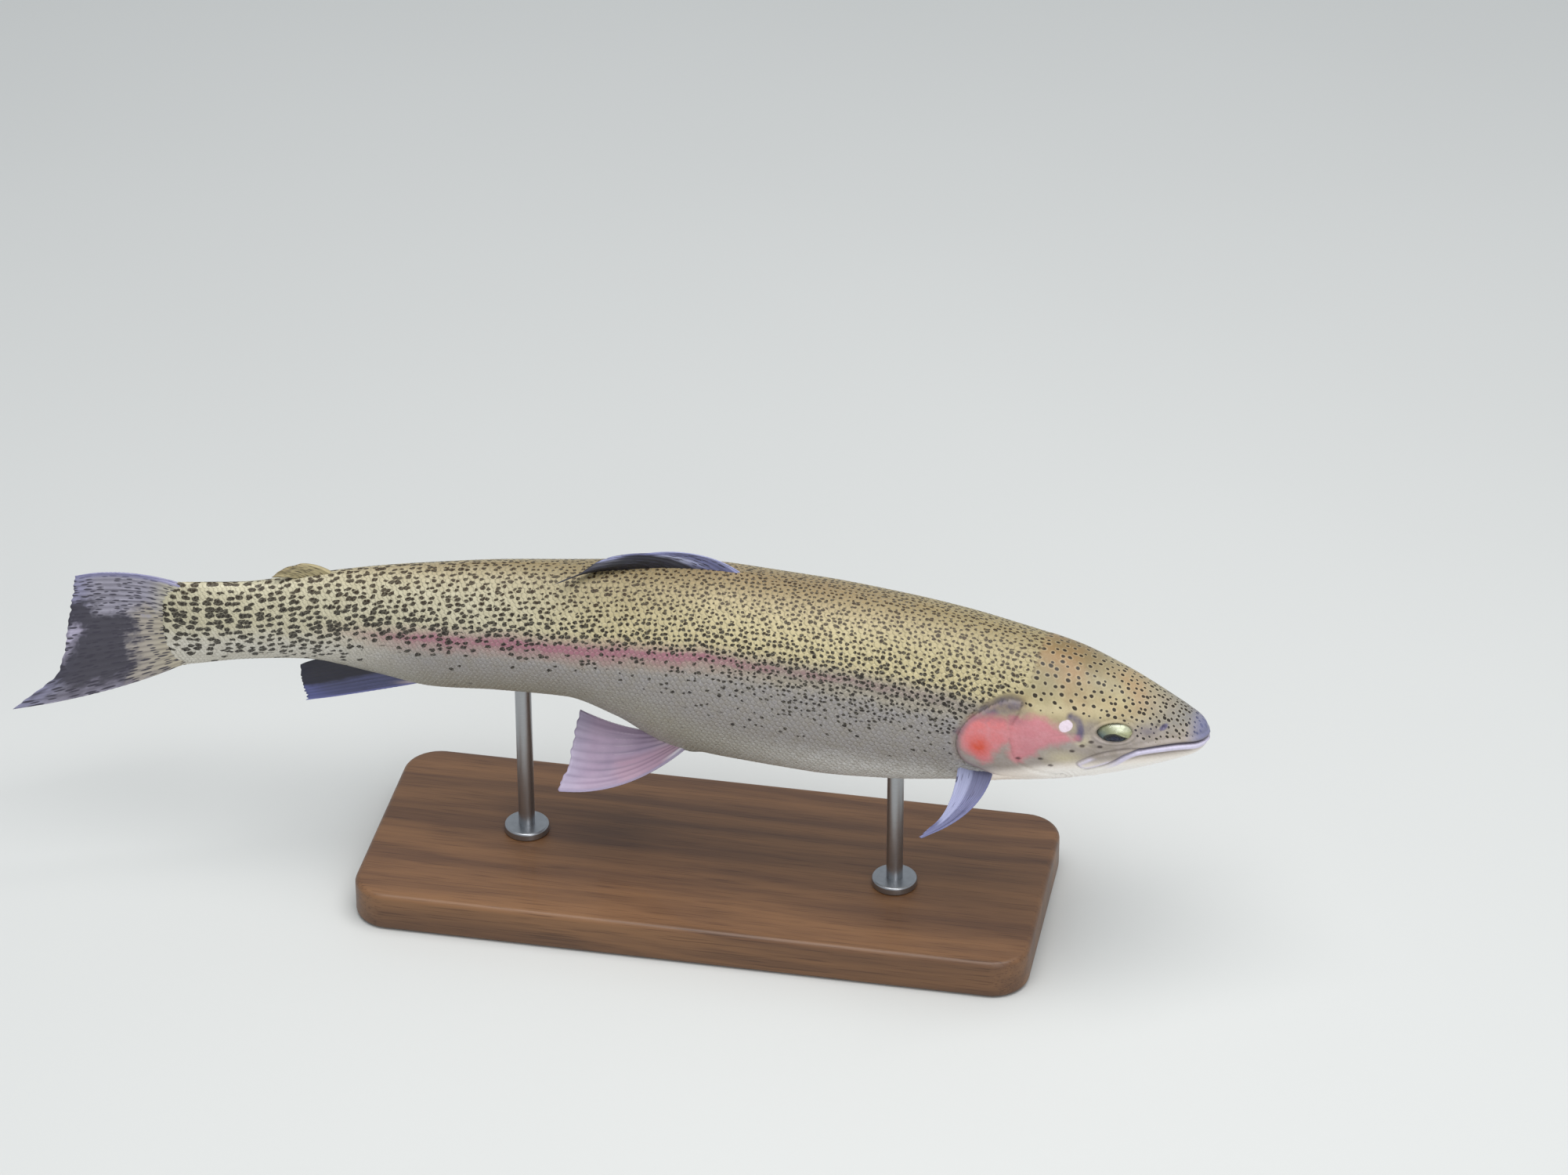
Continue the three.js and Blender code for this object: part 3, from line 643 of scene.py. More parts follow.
class Value:
    """A number, vector or colour on its way through a material's nodes."""

    def __init__(self, paint, socket):
        self.paint = paint
        self.socket = socket

    def math(self, operation, *numbers, clamp=False):
        """A Math node on numbers and values."""
        node = add_node(self.paint.tree, "ShaderNodeMath", {"operation": operation, "use_clamp": clamp},
                        dict(enumerate(numbers)))
        return Value(self.paint, node.outputs[0])

    def __add__(self, other):
        return self.math("ADD", self, other)

    def __sub__(self, other):
        return self.math("SUBTRACT", self, other)

    def __mul__(self, other):
        return self.math("MULTIPLY", self, other)

    def __rsub__(self, other):
        return self.math("SUBTRACT", other, self)

    def __pow__(self, other):
        return self.math("POWER", self, other)

    def clamped(self):
        """Kept between 0 and 1."""
        return self.math("ADD", self, 0.0, clamp=True)

    def at_least(self, other):
        """The larger of two values."""
        return self.math("MAXIMUM", self, other)

    def wave(self):
        """Goes up and down between 0 and 1, once in 2 pi."""
        return self.math("SINE", self) * 0.5 + 0.5

    def rise(self, low, high):
        """Goes smoothly from 0 at low to 1 at high."""
        node = add_node(self.paint.tree, "ShaderNodeMapRange", {"interpolation_type": "SMOOTHSTEP"},
                        {"Value": self, "From Min": low, "From Max": high})
        return Value(self.paint, node.outputs[0])

    def fall(self, low, high):
        """Goes smoothly from 1 at low to 0 at high."""
        return 1.0 - self.rise(low, high)

    def near(self, middle, reach):
        """1 at the middle value, fading to 0 as far off as the reach."""
        return self.math("ABSOLUTE", self - middle).fall(0.0, reach)

    def parts(self):
        """The three numbers of a vector."""
        node = add_node(self.paint.tree, "ShaderNodeSeparateXYZ", inputs={0: self})
        return [Value(self.paint, output) for output in node.outputs]


def colour(code):
    """A linear colour from a hexadecimal code; a colour that is a value already stays one."""
    if isinstance(code, Value):
        return code
    shares = [int(code[i:i + 2], 16) / 255 for i in (1, 3, 5)]
    linear = [v / 12.92 if v <= 0.04045 else ((v + 0.055) / 1.055) ** 2.4 for v in shares]
    return (*linear, 1.0)


class Paint:
    """One material: node-built colour, gloss and fine relief."""

    def __init__(self, name):
        self.material = bpy.data.materials.new(name)
        self.material.use_nodes = True
        self.tree = self.material.node_tree
        self.shader = self.tree.nodes["Principled BSDF"]

    def node(self, kind, settings=None, inputs=None, output=0):
        """Any node as a value, read at one of its outputs."""
        return Value(self, add_node(self.tree, kind, settings, inputs).outputs[output])

    def attribute(self, key):
        """A vector stored on the mesh."""
        return self.node("ShaderNodeAttribute", {"attribute_name": key}, output=1)

    def place(self):
        """The place on the object, in metres."""
        return self.node("ShaderNodeTexCoord", output=3)

    def vector(self, x, y, z=0.0):
        """A vector from its three numbers."""
        return self.node("ShaderNodeCombineXYZ", inputs={0: x, 1: y, 2: z})

    def scaled(self, vector, factors):
        """A vector with each part multiplied."""
        return self.node("ShaderNodeVectorMath", {"operation": "MULTIPLY"}, {0: vector, 1: factors})

    def moved(self, vector, other):
        """A vector with another added."""
        return self.node("ShaderNodeVectorMath", {"operation": "ADD"}, {0: vector, 1: other})

    def noise(self, vector, scale, detail=3.0, rough=0.5, output=0):
        """Soft noise, from 0 to 1."""
        return self.node("ShaderNodeTexNoise", inputs={
            "Vector": vector, "Scale": scale, "Detail": detail, "Roughness": rough}, output=output)

    def cells(self, vector, scatter):
        """Distance to the nearest of scattered points a unit apart, and two draws for each point."""
        made = add_node(self.tree, "ShaderNodeTexVoronoi", {"voronoi_dimensions": "2D"}, {
            "Vector": vector, "Scale": 1.0, "Randomness": scatter})
        first, second, _ = Value(self, made.outputs["Color"]).parts()
        return Value(self, made.outputs["Distance"]), first, second

    def warp(self, at, scale, detail, reach):
        """A push to either side by soft noise, up to half the reach."""
        return self.scaled(self.moved(self.noise(at, scale, detail, output=1), (-0.5, -0.5, -0.5)), reach)

    def mix(self, share, first, second, blend="MIX"):
        """Two colours mixed: first where the share is 0, second where it is 1."""
        return self.node("ShaderNodeMix", {"data_type": "RGBA", "blend_type": blend},
                         {"Factor": share, 6: colour(first), 7: colour(second)}, output=2)

    def over(self, ground, *coats):
        """A colour with others laid over it in turn, each as (share, colour)."""
        for share, coat in coats:
            ground = self.mix(share, ground, coat)
        return ground

    def shade(self, share, first, second):
        """The first colour multiplied by the second, as far as the share goes."""
        return self.mix(share, first, second, "MULTIPLY")

    def relief(self, height, distance, strength=1.0):
        """Fine relief, with its depth in metres."""
        bumped = self.node("ShaderNodeBump", inputs={
            "Strength": strength, "Distance": distance, "Height": height})
        self.tree.links.new(bumped.socket, self.shader.inputs["Normal"])

    def set(self, **values):
        """Sets the shader's sockets, with names such as base_color."""
        for key, value in values.items():
            socket = self.shader.inputs[key.replace("_", " ").title().replace("Ior", "IOR")]
            if isinstance(value, Value):
                self.tree.links.new(value.socket, socket)
            else:
                socket.default_value = value
        return self.material


# ---- paint of the fish

FLANK_GOLD = "#c3b68e"
BACK_OLIVE = "#8f7a58"
STEM_GREY = "#c8c2aa"
STEM_PALE = "#d9d4c8"
FLANK_SILVER = "#9f9a99"
BELLY = "#e6e5e2"
BELLY_REAR = "#a5a196"
BELLY_SHADE = "#77726e"
OLIVE_SHADE = "#8d8160"
STRIPE_GREY = "#867e7e"
STRIPE_PINK = "#a3687a"
STRIPE_DUSK = "#8a5c66"
SPOT_BROWN = "#301f08"
SPOT_GREY = "#1f1813"
HEAD_GOLD = "#b4a67f"
HEAD_TOP = "#988d70"
HEAD_SHADE = "#7b6f55"
HEAD_LIGHT = "#d6c9a6"
SHOULDER = "#9c916a"
CROWN = "#7d6844"
CROWN_WARM = "#a67f58"
SNOUT = "#6b6e78"
SNOUT_TIP = "#74779a"
CHEEK = "#a99e97"
CHEEK_CREAM = "#d3c7a4"
CHEEK_PALE = "#fbefe3"
JAW = "#fffaf4"
LIP = "#dfd8ee"
HEAD_DOT = "#1c1206"
BLUSH = "#e27f80"
BLUSH_FRONT = "#cf838b"
BLUSH_GLEAM = "#d99ba2"
BLUSH_CORE = "#e0553a"
BLUSH_DUSK = "#96636c"
GILL_RIM = "#8f6a74"
VIOLET = "#5b5573"
CREST_VIOLET = "#4e4860"
PEARL = "#ead9e4"
FURROW_SHADE_AND_FRECKLE = "#54474a"
GRAIN_SHADE = "#b0a48e"
SCALE_EDGE_GLINT = "#d6d0b8"


def speckle(paint, cells, radius, density, scatter):
    """Spots, 1 inside each: radius in cells, density the share of the cells that have one."""
    apart, draw, size = paint.cells(cells, scatter)
    kept = (draw - density).fall(-0.01, 0.01)
    return (radius * (size * 0.5 + 0.75) - apart).rise(-0.06, 0.06) * kept


def flank_colours(paint, cells, s, stripe, pale, noises):
    """Back, flank, stripe and belly, with their spots."""
    cloud, mottle, grain = noises
    stem = s.rise(385, 430)
    band = stripe.near(-1, 9) * s.fall(330, 440)
    width = (stripe.near(-2, 10) * s.rise(170, 290) * 1.3 + stripe.near(-1, 3.5)) * 0.6
    pink = width * s.rise(100, 190) * s.fall(360, 440) * (cloud * 1.8).clamped()
    ground = paint.over(
        paint.mix(stripe.rise(12, 46), FLANK_GOLD, BACK_OLIVE),
        (s.fall(100, 190) * stripe.rise(0, 24) * 0.5, SHOULDER),
        (s.near(300, 90) * stripe.rise(8, 26) * 0.45, OLIVE_SHADE),
        (s.rise(270, 360) * stripe.fall(15, 45).at_least(s.rise(390, 450)) * 0.8, STEM_GREY),
        (stripe.fall(-13, 3), paint.mix(s.rise(370, 440), FLANK_SILVER, STEM_PALE)),
        (pale.fall(-16, 5) * s.fall(400, 450), paint.mix(s.rise(150, 260), BELLY, BELLY_REAR)),
        ((mottle * 2.4 - 0.85).clamped() * 0.3, OLIVE_SHADE),
        ((grain * 3.2 - 1.2).clamped() * stripe.fall(-14, -2) * 0.3, BELLY_SHADE),
        (band * (s.fall(170, 260) * 0.2 + 0.55), STRIPE_GREY),
        (pink.clamped() * 0.85, paint.mix(s.fall(150, 270), STRIPE_PINK, STRIPE_DUSK)),
    )
    below = stripe.rise(-30, -5) * s.fall(190, 270) + stripe.rise(-14, 4) * s.rise(190, 270)
    below = below.at_least(stripe.rise(-22, -13) * stem)
    density = (below * 0.9 + 0.1) * pale.rise(-4, 8).at_least(stem) * (1.0 - pink * 0.4)
    radius = stripe.near(4, 16) * 0.07 + s.rise(300, 420) * 0.05 + mottle * 0.16 + 0.21
    dots = speckle(paint, cells, radius, density * 1.05, 0.7)
    dark = paint.mix(stripe.fall(4, 30), SPOT_BROWN, SPOT_GREY)
    return paint.mix(dots * (grain * 0.5 + 0.7).clamped(), ground, dark)


def head_colours(paint, s, level, noises):
    """Crown, snout, cheek, jaws, gill cover and the round spots of the head."""
    cloud, mottle, grain = noises
    along, around, dotted = paint.attribute("head_spots").parts()
    lobes, core, rim = paint.attribute("reds").parts()
    cheek, lip, blob = paint.attribute("pales").parts()
    _, violet, snout = paint.attribute("darks").parts()
    nape = s.rise(64, 94) * level.rise(20, 27)
    ground = paint.over(
        paint.mix(level.rise(6, 20), CHEEK, HEAD_GOLD),
        (level.rise(20, 34), HEAD_TOP),
        (level.rise(30, 40), CROWN),
        ((mottle * 2.6 - 1.0).clamped() * 0.4, HEAD_SHADE),
        ((cloud * 3.6 - 1.6).clamped() * level.rise(14, 22) * 0.5, CROWN_WARM),
        (nape * 0.85, paint.mix(level.rise(30, 46), SHOULDER, BACK_OLIVE)),
        (s.fall(6, 40) * level.rise(7, 16) * 0.7, SNOUT),
        (s.near(61, 15) * level.near(-5, 8) * 0.7, CHEEK_CREAM),
        # painted highlight: a pale cream band along the upper side of the head, above the eye and gill cover
        (s.near(64, 30) * level.near(20.5, 5) * 0.45, CHEEK_CREAM),
        (s.near(53, 6) * level.near(6, 5) * 0.7, CHEEK_CREAM),
        (cheek, CHEEK_PALE),
        ((level + s * 0.16).fall(-5, 2) * s.fall(62, 95), JAW),
    )
    cells = paint.vector(along, around)
    cells = paint.moved(cells, paint.warp(cells, 1.1, 1.0, (0.22, 0.22, 0)))
    kept = dotted * (1.0 - violet)
    radius = (s.fall(15, 60) * 0.06 + mottle * 0.08 + 0.22) * kept - 0.06
    halo = speckle(paint, cells, radius + kept * 0.13, 1.02, 0.62)
    dots = speckle(paint, cells, radius, 1.02, 0.62)
    patchy = (violet * (mottle * 1.6 + 0.25)).clamped()
    dusk = (level + (mottle - 0.5) * 8.0).rise(10.5, 16) * s.rise(74, 84)
    blush = paint.over(
        paint.mix(s.rise(78, 98), BLUSH_FRONT, BLUSH),
        # painted gleam: pale pink patches on the red lobes
        ((mottle * 3.4 - 1.5).clamped() * 0.55, BLUSH_GLEAM),
        (dusk * 0.6, BLUSH_DUSK),
        (core * (mottle * 2.4 - 0.3).clamped(), BLUSH_CORE),
    )
    red = (lobes + (mottle - 0.5) * 7.0 + (grain - 0.5) * 1.0).rise(-2.0, 3.4)
    return paint.over(
        ground,
        (halo * 0.16, HEAD_LIGHT),
        (dots * 0.97, HEAD_DOT),
        (snout * 0.85, SNOUT_TIP),
        # violet marks, darker higher up where the crest's painted shade lies
        (patchy * 0.9, paint.mix(level.rise(17, 20), VIOLET, CREST_VIOLET)),
        (red * 0.95, blush),
        (rim * 0.6, GILL_RIM),
        ((blob + (mottle - 0.5) * 1.3).rise(0.25, 0.85) * blob.rise(0, 0.2), PEARL),
        ((lip * (1.3 - mottle * 0.6)).clamped(), LIP),
    )


def fish_colours(paint):
    """Colour of the skin by its place on the fish, how pale the belly is there, and a fine grain."""
    s, around, level = paint.attribute("fish").parts()
    stripe, pale, scaled = paint.attribute("bands").parts()
    lines = paint.attribute("darks").parts()[0]
    flat = paint.vector(s, around)
    cloud = paint.noise(flat, 0.045, 2.0)
    mottle = paint.noise(flat, 0.16, 3.0, 0.6)
    grain = paint.noise(flat, 0.75, 2.0, 0.6)
    noises = (cloud, mottle, grain)
    wavy = (mottle - 0.5) * 6.0
    cells = paint.moved(paint.attribute("body_spots"), paint.warp(flat, 0.42, 2.0, (0.75, 0.7, 0)))
    flank = flank_colours(paint, cells, s, stripe + wavy, pale + wavy, noises)
    head = head_colours(paint, s, level + wavy * 0.2, noises)
    skin = paint.mix(scaled, head, flank)
    # painted shade in the furrows, and the cheek's freckles, in the same dark colour
    skin = paint.shade(lines * 0.85, skin, FURROW_SHADE_AND_FRECKLE)
    skin = paint.shade((grain * 1.8 - 0.6).clamped() * 0.25, skin, GRAIN_SHADE)
    return skin, pale.fall(-12, 12), grain


def skin_paint():
    """Smooth wet skin, as on the head and under the scales."""
    paint = Paint("fish_skin")
    skin, belly, grain = fish_colours(paint)
    paint.relief(grain, 0.00012, 0.5)
    return paint.set(base_color=skin, roughness=grain * 0.16 + 0.38, metallic=belly * 0.06,
                     specular_ior_level=0.28, coat_weight=0.10, coat_roughness=0.18)


def scale_paint():
    """Scales: the skin's colours, a little more silvery, with a fine pale rim to each as a painted glint."""
    paint = Paint("fish_scale")
    skin, belly, _ = fish_colours(paint)
    x, y, _ = paint.attribute("plate").parts()
    out = (x * x + y * y) ** 0.5
    # painted glint: a pale rim round the free edge of each scale
    edge = out.rise(0.6, 0.95) * x.rise(-0.2, 0.4)
    skin = paint.mix(edge * 0.16, skin, SCALE_EDGE_GLINT)
    rings = (out * 42.0).wave()
    paint.relief(rings, 0.00003, 0.4)
    return paint.set(base_color=skin, roughness=rings * 0.08 + 0.40, metallic=belly * 0.08 + 0.04,
                     specular_ior_level=0.32, coat_weight=0.06, coat_roughness=0.22)


# ---- scales

ROW_SPACING = 2.6
SEAT_SPACING = 2.9
SEAT_MARGIN = 0.4          # rows keep this far from the middle of back and belly
SEAT_JITTER = 0.12
PLATE = {"long": 4.7, "wide": 3.6, "thick": 0.07, "dome": 0.04, "lift": 0.12, "hinge": 0.35, "corners": 10,
         "inner": 0.62}
PLATE_SHRINK = {"by": 0.27, "from": 200.0, "to": 490.0}
FRONT_PLATE = 0.5          # size of the scales along the front of the coat, beside the others
COAT_FROM, COAT_TO = 78.0, 503.0
COAT_SPLIT = 278.0
FACING_STEPS = (0.9, 0.02)      # a scale's facing comes from the skin this far back, and round
UNWRAP = {"length": 600.0, "girth": 420.0, "half_patch": 0.0015}
MARK_KEYS = ("fish", "bands", "body_spots", "head_spots", "reds", "pales", "darks")


def plate_size(s):
    """Scales shrink towards the tail."""
    return 1.0 - PLATE_SHRINK["by"] * ramp(PLATE_SHRINK["from"], PLATE_SHRINK["to"], np.asarray(s, float))


def scale_seats(side):
    """The scales' seats on one flank, as (s, t, way from the back), in rows along the stripe's line."""
    steps = [COAT_FROM]
    while steps[-1] < COAT_TO:
        steps.append(steps[-1] + SEAT_SPACING * float(plate_size(steps[-1])))
    fine = np.interp(np.arange(0, len(steps) - 1, 0.5), np.arange(len(steps)), steps)
    angles, arcs, levels = half_girth(fine)
    seats = []
    jitter = np.random.default_rng(7 + side)
    for column, (s, arc, level) in enumerate(zip(fine, arcs, levels)):
        line = np.interp(-stripe_at(s), -level, arc)
        spacing = ROW_SPACING * float(plate_size(s))
        first = math.ceil((SEAT_MARGIN - line) / spacing)
        last = math.floor((arc[-1] - SEAT_MARGIN - line) / spacing)
        rows = np.arange(first, last + 1)
        rows = rows[(rows + column) % 2 == 0]
        at_arc = line + rows * spacing + jitter.uniform(-SEAT_JITTER, SEAT_JITTER, len(rows))
        t = np.interp(at_arc, arc, angles)
        z = np.interp(at_arc, arc, level)
        back = s + jitter.uniform(-SEAT_JITTER, SEAT_JITTER, len(rows))
        kept = back > scale_front_at(z) - 0.5
        seats.append(np.stack([back, t, at_arc], -1)[kept])
    seats = np.concatenate(seats)
    if side > 0:
        seats[:, 1] = 2 * np.pi - seats[:, 1]
    return seats


def seat_mesh(name, seats, side):
    """Points on the skin that carry each scale's facing, heading, size and place on the unwrap."""
    s, t, arc = seats.T
    here = bend(skin_point(s, t))
    behind = bend(skin_point(np.minimum(s + FACING_STEPS[0], TAIL_END), t)) - here
    round_body = bend(skin_point(s, t - FACING_STEPS[1] * side)) - here
    facing = np.cross(behind, round_body) * -side
    facing /= np.linalg.norm(facing, axis=-1, keepdims=True)
    behind /= np.linalg.norm(behind, axis=-1, keepdims=True)
    root = np.stack([s / UNWRAP["length"], 0.5 + arc * side / UNWRAP["girth"], 0 * s], -1)
    level = skin_point(s, t)[..., 2]
    grown = ramp(-1, 9, s - scale_front_at(level))
    size = plate_size(s) * (FRONT_PLATE + (1 - FRONT_PLATE) * grown)
    return mesh_object(name, here, [], attributes={
        "facing": facing, "behind": behind, "size": size, "root": root})


def plate_template():
    """One scale in metres: its root at the origin, its free edge back along +X and up +Z."""
    corners = PLATE["corners"]
    middle, under = 2 * corners, 2 * corners + 1
    rim = circle(corners)
    plan = np.concatenate([rim, rim * PLATE["inner"], [[0, 0]], rim])
    height = PLATE["dome"] * (1 - (plan ** 2).sum(-1)) + PLATE["lift"] * (plan[:, 0] + PLATE["hinge"])
    height[under:] -= PLATE["thick"]
    points = np.column_stack([plan * (PLATE["long"] / 2, PLATE["wide"] / 2), height]) * MM
    faces = []
    for n in range(corners):
        m = (n + 1) % corners
        faces += [(n, m, corners + m, corners + n), (corners + n, corners + m, middle),
                  (m, n, under + n, under + m)]
    faces.append(tuple(range(under + corners - 1, under - 1, -1)))
    return mesh_object("plate_template", points, faces,
                       attributes={"plate": np.concatenate([plan, 0 * plan[:, :1]], -1)})


def coat_tree():
    """Sets a scale on each seat and gives it the skin's markings and its own spot on the unwrap."""
    tree = Tree("coat_of_scales", {"Plate": "Object", "Skin": "Object", "Plate size": "Float",
                                   "Finish": "Material"})
    plate, skin = (
        tree.node("GeometryNodeObjectInfo", inputs={"Object": tree.given[key]}, output="Geometry")
        for key in ("Plate", "Skin"))
    rotation = tree.node("FunctionNodeAxesToRotation", {"primary_axis": "Z", "secondary_axis": "X"}, {
        "Primary Axis": tree.named("facing"), "Secondary Axis": tree.named("behind")})
    size = tree.node("ShaderNodeMath", {"operation": "MULTIPLY"}, {
        0: tree.named("size", "FLOAT"), 1: tree.given["Plate size"]})
    coat = tree.node("GeometryNodeInstanceOnPoints", inputs={
        "Points": tree.given["Geometry"], "Instance": plate, "Rotation": rotation, "Scale": size})
    coat = tree.node("GeometryNodeRealizeInstances", inputs={"Geometry": coat})
    for key in MARK_KEYS:
        mark = tree.node("GeometryNodeSampleNearestSurface", {"data_type": "FLOAT_VECTOR"}, {
            "Mesh": skin, "Value": tree.named(key)})
        coat = tree.stored(coat, key, mark, "FLOAT_VECTOR", "POINT")
    half = UNWRAP["half_patch"]
    patch = tree.node("ShaderNodeVectorMath", {"operation": "MULTIPLY_ADD"}, {
        0: tree.named("plate"), 1: (half, half, 0), 2: tree.named("root")})
    coat = tree.stored(coat, "OFBake", patch, "FLOAT2", "CORNER")
    tree.finish(coat)
    return tree


def make_coat(skin, finish):
    """The scales of both flanks, front and rear, as four pieces."""
    tree = coat_tree()
    plate = plate_template()
    pieces = []
    for side, flank in ((-1, "right"), (1, "left")):
        seats = scale_seats(side)
        for part, chosen in (("front", seats[:, 0] < COAT_SPLIT), ("rear", seats[:, 0] >= COAT_SPLIT)):
            points = seat_mesh("seats", seats[chosen], side)
            coat = tree.grow(f"scales_{part}_{flank}", points, {
                "Plate": plate, "Skin": skin, "Plate size": 1.0, "Finish": finish})
            tidy_attributes(coat.data, (*MARK_KEYS, "plate", "OFBake"))
            bpy.data.objects.remove(points)
            pieces.append(coat)
    bpy.data.objects.remove(plate)
    return pieces


def tidy_attributes(mesh, kept):
    """Drops a mesh's working attributes, keeping the named ones and Blender's own."""
    own = {"position", "sharp_face", "sharp_edge", "material_index"}
    for key in [layer.name for layer in mesh.attributes]:
        if key not in kept and key not in own and not key.startswith("."):
            mesh.attributes.remove(mesh.attributes[key])


# ---- fins

FIN_WAVE = 0.25            # how far the tip of a fin sways to each side, in mm
WEB_HALF = {"thin": 0.13, "pleat": 0.10, "root_to": 0.42}
WEB_STEPS = 6              # columns of the web's mesh from one ray to the next
WEB_ROWS = 40
RAY_SIDES = 6
RAY_STEPS = 52             # points along a ray from root to tip
RAY_JOINTS = 26
# parts of a ray, as (r where it starts, r where it ends, thickness beside the stem)
RAY_PARTS = {"lead": (0.02, 1.0, 1.25), "stem": (0.02, 0.56, 1.0), "fork": (0.54, 0.80, 0.72),
             "tip": (0.78, 1.0, 0.5)}
FORK_SPREAD, TIP_SPREAD = 0.21, 0.12      # of the gap between two rays
# the rays a fin follows, how many it shows, how uneven its margin is, and in millimetres the half
# thickness of its root and the radius of a ray
FIN_SHAPES = {
    "dorsal_fin": {"rays": DORSAL_RAYS, "count": 13, "ragged": 0.035, "root": 1.1, "width": 0.32},
    "adipose_fin": {"rays": ADIPOSE_RAYS, "count": 9, "ragged": 0.01, "root": 1.5, "width": 0.10},
    "caudal_fin": {"rays": CAUDAL_RAYS, "count": 20, "ragged": 0.03, "root": 1.3, "width": 0.42},
    "anal_fin": {"rays": ANAL_RAYS, "count": 12, "ragged": 0.03, "root": 1.1, "width": 0.32},
    "pelvic_fin": {"rays": PELVIC_RAYS, "count": 10, "ragged": 0.035, "root": 1.4, "width": 0.36},
    "pectoral_fin": {"rays": PECTORAL_RAYS, "count": 14, "ragged": 0.03, "root": 1.4, "width": 0.36},
}


def smooth_rays(rays):
    """A fin's surface from its rays: root, middle and tip as smooth functions of q, front to rear."""
    places = np.linspace(0, 1, len(rays))
    return [[smooth_through(np.stack([places, [ray[part][axis] for ray in rays]], -1))
             for axis in range(3)] for part in range(3)]


def fin_point(handles, q, r, side):
    """A place on a fin's middle surface: q from front to rear, r from root to tip."""
    q, r = np.broadcast_arrays(np.asarray(q, float), np.asarray(r, float))
    root, middle, tip = (np.stack([curve(q) for curve in part], -1) for part in handles)
    r = r[..., None]
    point = (1 - r) ** 2 * root + 2 * r * (1 - r) * middle + r * r * tip
    return point * np.array([1, -side, 1])


def fin_normal(handles, q, r, side):
    """Unit normal of a fin's middle surface."""
    step = 0.004
    lengthwise = fin_point(handles, q + step, r, side) - fin_point(handles, q - step, r, side)
    outward = fin_point(handles, q, r + step, side) - fin_point(handles, q, r - step, side)
    normal = np.cross(lengthwise, outward) * -side
    return normal / np.maximum(np.linalg.norm(normal, axis=-1, keepdims=True), 1e-9)


def fin_sway(q, r):
    """How far a fin waves out of its middle surface, in millimetres."""
    return FIN_WAVE * np.sin(q * 17 + r * 5) * r


def margin(q, count, ragged):
    """How far out the membrane reaches at q: a little notched between rays, and uneven."""
    phase = q * (count - 1)
    notch = 0.5 - 0.5 * np.cos(2 * np.pi * phase)
    draws = np.random.default_rng(count).uniform(0, 1, (2, 3 * count))
    tears = np.interp(phase * 2.3, np.arange(3 * count), draws[0]) ** 3
    uneven = np.interp(phase * 0.6, np.arange(3 * count), draws[1])
    return 1 - ragged * (0.3 * notch * (0.4 + uneven) + 0.5 * uneven + 0.6 * tears)


def make_membrane(name, shape, side, finish):
    """A fin's web: one closed sheet, thick at its root, drawn in a little between its rays."""
    count = shape["count"]
    handles = smooth_rays(shape["rays"])
    columns, rows = (count - 1) * WEB_STEPS + 1, WEB_ROWS
    q, r = np.meshgrid(np.linspace(0, 1, columns), np.linspace(0, 1, rows), indexing="ij")
    reach = r * margin(q, count, shape["ragged"])
    middle = fin_point(handles, q, reach, side)
    normal = fin_normal(handles, q, reach, side)
    pleat = 0.5 + 0.5 * np.cos(2 * np.pi * q * (count - 1))
    half = WEB_HALF["thin"] + WEB_HALF["pleat"] * pleat + shape["root"] * fade(0, WEB_HALF["root_to"], r)
    if name.startswith("adipose"):
        half = 0.5 + 1.1 * (1 - r) ** 0.7
    half = half * np.minimum(np.minimum(thinned(q), thinned(1 - q)), thinned(1 - r))
    sheets = [middle + normal * (fin_sway(q, r) + half * way)[..., None] for way in (1, -1)]
    points = np.concatenate([sheet.reshape(-1, 3) for sheet in sheets])
    web = np.stack([q, r, q * (count - 1)], -1).reshape(-1, 3)
    return finished_body(name, bend(points), sheet_faces(columns, rows), finish,
                         attributes={"web": np.concatenate([web, web])})


def thinned(x):
    """Rounds a sheet's edge: 0.15 at the rim to 1 a little way in."""
    return 0.15 + 0.85 * np.sqrt(np.clip(x / 0.02, 0, 1))


def sheet_faces(columns, rows):
    """Quads of a two-sided sheet of columns by rows, closed along its rim."""
    i, j = np.meshgrid(np.arange(columns - 1), np.arange(rows - 1), indexing="ij")
    corner = i * rows + j
    top = np.stack([corner, corner + 1, corner + rows + 1, corner + rows], -1).reshape(-1, 4)
    under = top[:, ::-1] + columns * rows
    grid = np.arange(columns * rows).reshape(columns, rows)
    rim = np.concatenate([grid[0], grid[1:, -1], grid[-1, -2::-1], grid[-2:0:-1, 0]])
    after = np.roll(rim, -1)
    sides = np.stack([after, rim, rim + grid.size, after + grid.size], -1)
    return np.concatenate([top, under, sides]).tolist()


